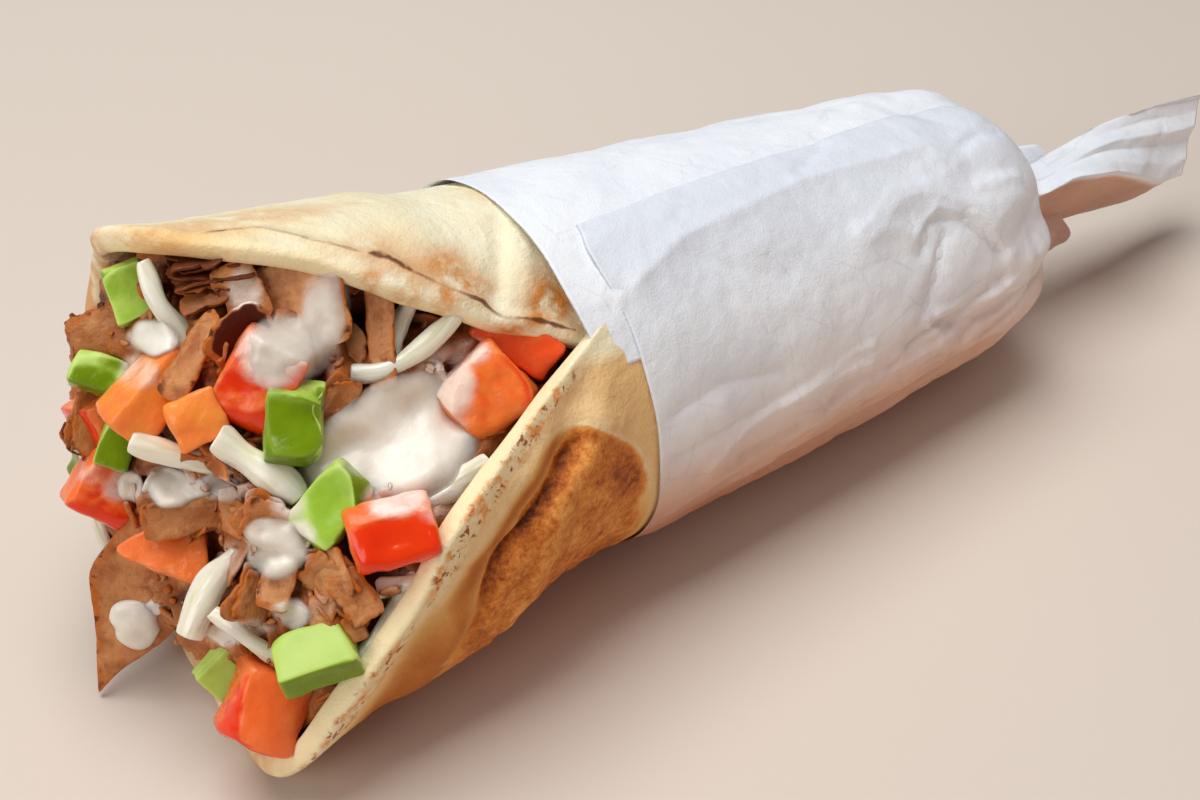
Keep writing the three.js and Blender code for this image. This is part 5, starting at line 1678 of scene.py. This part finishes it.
ONIONS = [
    strip_of((-24.4, 32, 3.5), (16.5, 4.2, 2.6), turn=-68, sweep=12, taper=-0.28),
    strip_of((16.4, 19.4, 2.5), (22.5, 3.9, 2.6), turn=24, sweep=66),
    strip_of((14.6, 25, 0.5), (11, 4, 2.2), turn=66, sweep=-14),
    strip_of((-23.7, 6.6, 3), (18.5, 4.6, 2.8), turn=-15, sweep=20),
    strip_of((-11.2, 4.4, 3), (17, 6, 3.4), turn=-44, sweep=-16),
    strip_of((-21.6, -16, 4), (19, 5.6, 3), turn=50, sweep=-26, taper=0.2),
    strip_of((-17, -24.6, 3.4), (14, 3.4, 2.6), turn=-40, sweep=16),
    strip_of((7.2, -23.4, 1.6), (18, 4.2, 2.4), rest=(3, -21), turn=52, sweep=-16),
    strip_of((21.6, -2.6, 1), (13, 4.4, 2.2), rest=(17, 0), turn=26, sweep=14),
    strip_of((-26.6, 1, 2.4), (9, 5.4, 2.6), turn=-22, sweep=20),
    strip_of((10.2, -17.8, 2), (9, 3.8, 2.4), turn=8),
    strip_of((-14, -20, 1), (18, 4.4, 2.6), face=END, turn=-40, sweep=-30),
]


def make_onion_finish():
    """Nearly clear white with fine lines along the strip."""
    material, tree, shader, place = new_material(
        "onion", Subsurface_Weight=0.55, Subsurface_Radius=(1.0, 0.95, 0.75), Subsurface_Scale=0.003,
        Coat_Weight=0.4, Coat_Roughness=0.14
    )
    own = node(tree, "Attribute", "Vector", attribute_name="own")
    lines = noise(stretched(own, 60, 900), 1.0, 3, 0.5)
    tint = blend(step(lines, 0.4, 0.7), colour(246, 240, 216), colour(228, 222, 188))
    tint, rough, film = under_sauce(place, tint, 0.24)
    finish(shader, tint, rough, lines + film, 0.0003)
    return material


def onion_body(piece, seed):
    """A thin ribbon, hollow along its length, waved a little, with fine lines."""
    length, width, _ = piece["size"]
    own = strip_grid({**piece, "seed": seed, "rough": 0.08}, rings=66, corners=44, end_power=13.0)
    t, c = own[..., 0] / (length / 2), own[..., 1] / (width / 2)
    own[..., 2] = own[..., 2] * 0.5 + 0.2 * width * (0.5 - c**2) + 0.5 * np.sin(3.1 * t + seed)
    own[..., 1] = own[..., 1] * (0.9 + 0.1 * np.sin(4.3 * t + 2 * seed)) + 0.45 * np.sin(2.7 * t + 1.7 * seed)
    points, faces = closed_grid(own)
    flat = points.copy()
    points = placed(points, piece)
    faces = turn_outwards(points, faces)
    normals = point_normals(points, faces)
    bump = 0.07 * lumps(flat * [0.2, 2.2, 1], 1.6, 2, seed) + 0.12 * lumps(flat, 4, 1, seed)
    points = points + normals * bump[:, None]
    return points, faces, {"own": flat * MM, "film": film_mask(points, normals)}


ONION_FINISH = make_onion_finish()
onion_bodies = [onion_body(piece, 40 + i) for i, piece in enumerate(ONIONS)]
for i, (points, faces, masks) in enumerate(onion_bodies):
    add_piece(f"onion_strip_{i + 1}", points, faces, ONION_FINISH, [f"onion_{i + 1}"], masks)

# %% [markdown]
# ## Garlic sauce
#
# Sauce settles on what lies under it. A height map of the filling is made by dropping every point of the heap
# and its slices onto a grid over the open face and keeping the highest. Blurring it gives the calm surface
# that a thick liquid takes, and a pool is that surface raised by its own thickness.

# %% Height map of the filling
CELL = 0.5  # mm between the map's lines
REACH = 52.0
SIDE = int(2 * REACH / CELL)
EMPTY, DEEPEST = -60.0, -50.0  # an empty cell's height, and what no filled cell reaches


def height_map(clouds):
    """The highest point in each cell of the open face; empty cells are filled from their neighbours."""
    right, up, out = FACE.measure(np.concatenate(clouds)).T
    i, j = ((right + REACH) / CELL).astype(int), ((up + REACH) / CELL).astype(int)
    keep = (i >= 0) & (i < SIDE) & (j >= 0) & (j < SIDE)
    grid = np.full((SIDE, SIDE), EMPTY)
    np.maximum.at(grid, (i[keep], j[keep]), out[keep])
    for _ in range(40):
        padded = np.pad(grid, 1, constant_values=EMPTY)
        around = np.stack([padded[1:-1, 2:], padded[2:, 1:-1], padded[1:-1, :-2], padded[:-2, 1:-1]])
        grid = np.where(grid < DEEPEST, around.max(0), grid)
    return grid


def blurred(grid, width):
    """Repeated averaging with the cells beside each cell, until it is as soft as a bell `width` mm wide."""
    for _ in range(int(2 * (width / CELL) ** 2)):
        padded = np.pad(grid, 1, mode="edge")
        grid = (grid * 4 + padded[2:, 1:-1] + padded[:-2, 1:-1] + padded[1:-1, 2:] + padded[1:-1, :-2]) / 8
    return grid


def read_map(grid, right, up):
    """The map's value between its four nearest cells."""
    u = np.clip((right + REACH) / CELL - 0.5, 0, SIDE - 1.001)
    v = np.clip((up + REACH) / CELL - 0.5, 0, SIDE - 1.001)
    i, j = u.astype(int), v.astype(int)
    a, b = u - i, v - j
    after_i, after_j = np.minimum(i + 1, SIDE - 1), np.minimum(j + 1, SIDE - 1)
    low = grid[i, j] * (1 - a) + grid[after_i, j] * a
    high = grid[i, after_j] * (1 - a) + grid[after_i, after_j] * a
    return low * (1 - b) + high * b


def on_open_face(rows, bodies):
    """Points of the bodies that lie on the open face; the other bodies' rows name their face."""
    return [body[0] for row, body in zip(rows, bodies) if "face" not in row]


slice_rows = [row for row in SLICES for _ in range(row["layers"])]
filling = [heap_points, *on_open_face(slice_rows, slice_bodies)]
toppings = on_open_face(TOMATOES, tomato_bodies) + on_open_face(PEPPERS, pepper_bodies)
FILLING_MAP = height_map(filling)
COVER_MAP = height_map([*filling, *toppings, *on_open_face(ONIONS, onion_bodies)])

# %% [markdown]
# A pool's outline is an ellipse with a soft tongue where the sauce ran on. Its thickness falls off like a
# dome and rounds down to a thin edge. The share of the full thickness is stored as a mask, so that the
# thinnest sauce lets its ground show.

# %% Pools and drops
POOLS = [  # outline: half length, half width, turn, and tongues by direction, extra reach and half width
    dict(at=(10.4, 6.7), thick=2.8, calm=2.2, solid=1,
     outline=(15, 9.8, 0, [(45, 2, 20), (145, -3.4, 34), (205, 4.6, 16), (310, 3.2, 36)])),
    dict(at=(1.9, 27.6), thick=1.4, calm=1.8, solid=0.52, outline=(9, 4.4, 250, [(250, 1.5, 18)])),
    dict(at=(-10.4, -8.9), thick=2.2, calm=0.9, solid=0.85, outline=(5.8, 5.2, 150, [])),
]
SPLASHES = [  # right, up, outline, thickness, calm, and how solid it looks where it is clearer
    (-26.7, 26.9, (4.5, 3.1, 170, []), 2.4, 1.2),
    (-20.9, -25.5, (3.2, 2.1, 148, []), 2.2, 1.2),
    (-5.8, 22.9, (7.4, 6, 20, [(325, 0.9, 30)]), 1.9, 1.8, 0.66),
    (-26.6, 1.2, (4.2, 3.5, 170, [(357, 4.8, 18)]), 1.5, 0.9),
    (-18.1, 0.9, (3.8, 2.3, 150, []), 1.2, 0.9),
    (-34.1, 1.1, (3.1, 2.6, 80, []), 2.0, 1.1),
    (-8.8, -20.3, (3.6, 2.8, 170, []), 1.1, 1.0),
    (-43.3, 7.3, (1.3, 1.1, 140, []), 1.6, 0.8),
]
ON_SLICE = [  # drops on the hanging slice: place on it, size, turn
    ((6.2, 2.4), (10.5, 8.6, 3.8), 20), ((0.4, 6.2), (11, 4, 2.2), -48), ((-4.4, 9.2), (5, 3.4, 2), -40),
]


def outline_reach(angle, long, wide, turn, tongues):
    """An ellipse's reach, 1 / sqrt((cos / long)^2 + (sin / wide)^2), with a bell added for each tongue."""
    way = (angle - turn) * DEG
    reach = 1 / np.hypot(np.cos(way) / long, np.sin(way) / wide)
    return reach + sum(extra * bell(angle_from(angle, to) / half) for to, extra, half in tongues)


def sauce_body(at, outline, thick, calm, seed, ground, solid=1.0):
    """A pool on polar rings: blurred ground plus a dome of sauce, closed underneath a little way down."""
    soft, close = blurred(ground, calm), blurred(ground, 1.0)
    rings, corners = 40, 110
    angle = 360 * np.arange(corners)[None, :] / corners
    radius = outline_reach(angle, *outline) * (1 + 0.03 * np.sin((5 * angle + 50 * seed) * DEG))
    share = np.sin(np.linspace(0.03, 1, rings) * np.pi / 2)[::-1, None]

    def layer(way, over, least):
        """A ring of points so far out: over the calm map, and at least so far over the close one."""
        right, up = at[0] + way * radius * np.cos(angle * DEG), at[1] + way * radius * np.sin(angle * DEG)
        low, high = read_map(soft, right, up) + over, read_map(close, right, up) + least
        return FACE.point(right, up, (low + high) / 2 + np.hypot((low - high) / 2, 0.3))

    dome = (1 - 0.99 * share**2.6) ** 0.6
    top = layer(share, thick * dome + 0.1, 0.9 * smooth(dome * 1.3))
    under = layer(share[::-8][::-1] * 0.98, -1.4, -1.4)[::-1]
    grid = np.concatenate([under, top])
    points, faces = closed_grid(np.concatenate([grid[:1], grid, grid[-1:]]))
    depth = np.concatenate([np.zeros(len(under) * corners), np.repeat(dome[:, 0], corners), [0.0, 1.0]])
    return points, faces, {"thick": depth * min(solid, thick / 1.6)}


def make_sauce_finish():
    """Pale, and clearer where it is thin."""
    material, tree, shader, place = new_material(
        "garlic sauce", Subsurface_Weight=0.5, Subsurface_Radius=(1.0, 0.85, 0.65), Subsurface_Scale=0.003,
        Coat_Weight=0.2, Coat_Roughness=0.2
    )
    clouds = cloudy(place, colour(238, 230, 216), colour(226, 215, 200), 110.0, 0.4, 0.7)
    edge = mask(tree, "thick") + noise(place, 300, 3) * 0.2
    feed(shader.inputs["Alpha"], step(edge, 0.12, 0.95))
    rough = 0.26 + noise(place, 300, 3) * 0.2
    finish(shader, clouds, rough, noise(place, 320, 3), 0.0003)
    return material


SAUCE_FINISH = make_sauce_finish()
for i, pool in enumerate(POOLS):
    ground = COVER_MAP if i == 1 else FILLING_MAP
    body = sauce_body(pool["at"], pool["outline"], pool["thick"], pool["calm"], 60 + i, ground, pool["solid"])
    add_piece(f"sauce_pool_{i + 1}", body[0], body[1], SAUCE_FINISH, [f"sauce_{i + 1}"], body[2])


def drop_body(slice_row, at, size, turn, seed):
    """An egg-shaped drop, half sunk into the slice that it lies on, and bent with it."""
    egg = {"size": size, "square": 2.2, "ends": 1.0, "rough": 0.1, "taper": 0.22, "seed": seed}
    own = strip_grid(egg, rings=40, corners=60, end_power=2.2)
    a = turn * DEG
    x = own[..., 0] * np.cos(a) - own[..., 1] * np.sin(a)
    y = own[..., 0] * np.sin(a) + own[..., 1] * np.cos(a)
    own = np.stack([x + at[0], y + at[1], own[..., 2] + 0.9], -1)
    points, faces = closed_grid(own)
    thick = smooth((points[:, 2] - 0.3) / 0.9)
    return placed(points, slice_row), faces, {"thick": thick}


hanging_row = next(row for row in SLICES if "low" in row)
splashes = [sauce_body(d[:2], d[2], d[3], d[4], 90 + i, COVER_MAP, *d[5:]) for i, d in enumerate(SPLASHES)]
splashes += [drop_body(hanging_row, *d, 120 + i) for i, d in enumerate(ON_SLICE)]
points, faces, masks = join_bodies(splashes)
add_piece("sauce_drops", points, faces, SAUCE_FINISH, ["doner_meat"], masks)

# %% [markdown]
# The hollows are darkened with painted shade. How deep a point lies is measured against the calm
# surface of everything that was laid on the heap.

# %% Dark hollows
def darken_hollows(piece, calm_map):
    """Writes how far each point lies below the calm cover, from 0.5 to 4.5 mm; steep sides stay."""
    co = np.empty(3 * len(piece.data.vertices), np.float32)
    piece.data.vertices.foreach_get("co", co)
    right, up, out = FACE.measure(co.reshape(-1, 3) / MM + ORIGIN).T
    layer = piece.data.attributes["deep"].data
    old = np.empty(len(layer), np.float32)
    layer.foreach_get("value", old)
    steep = read_map(np.hypot(*np.gradient(calm_map, CELL)), right, up)
    below = read_map(calm_map, right, up) - out
    # Painted shade: the deeper below the calm cover, the darker.
    hollow = smooth((below - 0.5) / 4) * smooth((13 - below) / 4) * smooth((2.0 - steep) / 0.9)
    layer.foreach_set("value", np.maximum(0.85 * hollow, 0.9 * old).astype(np.float32))


CALM_MAP = blurred(COVER_MAP, 2.5)
for piece in [o for o in bpy.data.objects if o.name.startswith("meat_")]:
    darken_hollows(piece, CALM_MAP)
print("hollows darkened below the calm surface")

# %% [markdown]
# ## Floor, light and camera
#
# A plain pale floor carries a soft shadow. One broad light hangs above and a little behind, as from a window
# in the ceiling, a weaker one fills from the camera's side, and a pale world lights the rest.

# %% Floor
def make_floor():
    """A pale square a little below the object, so that the two never touch."""
    mesh = bpy.data.meshes.new("floor")
    side, height = 3.0, -0.0004
    corners = [(x * side, y * side, height) for x, y in ((-1, -1), (1, -1), (1, 1), (-1, 1))]
    mesh.from_pydata(corners, [], [(0, 1, 2, 3)])
    material, _, shader, place = new_material("pale floor", Roughness=0.7)
    finish(shader, blend(noise(place, 4, 2), colour(214, 200, 186), colour(220, 206, 192)))
    mesh.materials.append(material)
    floor = bpy.data.objects.new("floor", mesh)
    bpy.context.scene.collection.objects.link(floor)


make_floor()


# %% Lights and camera
def add_area_light(name, place, size, power, tint):
    """A square light that looks at the middle of the object."""
    light = bpy.data.lights.new(name, "AREA")
    light.size, light.energy, light.color = size, power, tint
    lamp = bpy.data.objects.new(name, light)
    bpy.context.scene.collection.objects.link(lamp)
    out = np.array(place) / np.linalg.norm(place)
    side = np.cross([0, 1, 0], out)
    side /= np.linalg.norm(side)
    lamp.matrix_world = Matrix(np.vstack([np.column_stack([side, np.cross(out, side), out, place]),
                                          [0, 0, 0, 1]]))


add_area_light("ceiling", (-0.12, 0.16, 0.95), 0.7, 8.9, (0.97, 0.985, 1.0))
add_area_light("fill", (-0.95, -0.25, 0.5), 0.6, 3.6, (1.0, 0.97, 0.92))
add_area_light("bounce", (0.3, -0.7, 0.02), 0.5, 1.3, (1.0, 0.66, 0.46))
world = bpy.data.worlds.new("soft room")
world.use_nodes = True
world.node_tree.nodes["Background"].inputs[0].default_value = (0.9, 0.92, 1.0, 1)
world.node_tree.nodes["Background"].inputs[1].default_value = 0.16
bpy.context.scene.world = world
bpy.context.scene.view_settings.view_transform = "Standard"

AZIMUTH, ELEVATION = -35.0, 40.0
IMAGE_WIDTH, IMAGE_HEIGHT = 1200, 800
FOCAL_PIXELS = 2104.0  # focal length in pixels of that image
AIM, AIM_PIXEL, AIM_DISTANCE = np.array([0, 0, 37.3]), (543.0, 361.0), 400.0


def add_camera():
    """A camera turned to the azimuth and elevation, and moved aside so that the aim falls on its pixel."""
    a, e = AZIMUTH * DEG, ELEVATION * DEG
    back = np.array([np.sin(a) * np.cos(e), -np.cos(a) * np.cos(e), np.sin(e)])
    right = np.array([np.cos(a), np.sin(a), 0])
    up = np.cross(back, right)
    aside = (np.array(AIM_PIXEL) - [IMAGE_WIDTH / 2, IMAGE_HEIGHT / 2]) * AIM_DISTANCE / FOCAL_PIXELS
    place = (AIM + back * AIM_DISTANCE - right * aside[0] + up * aside[1] - ORIGIN) * MM
    camera = bpy.data.cameras.new("camera")
    camera.sensor_width = 36.0
    camera.lens = 36.0 * FOCAL_PIXELS / IMAGE_WIDTH
    holder = bpy.data.objects.new("camera", camera)
    bpy.context.scene.collection.objects.link(holder)
    holder.matrix_world = Matrix(np.vstack([np.column_stack([right, up, back, place]), [0, 0, 0, 1]]))
    bpy.context.scene.camera = holder


add_camera()

# %% [markdown]
# Last, the view layer is brought up to date.

# %% Finish
bpy.context.view_layer.update()
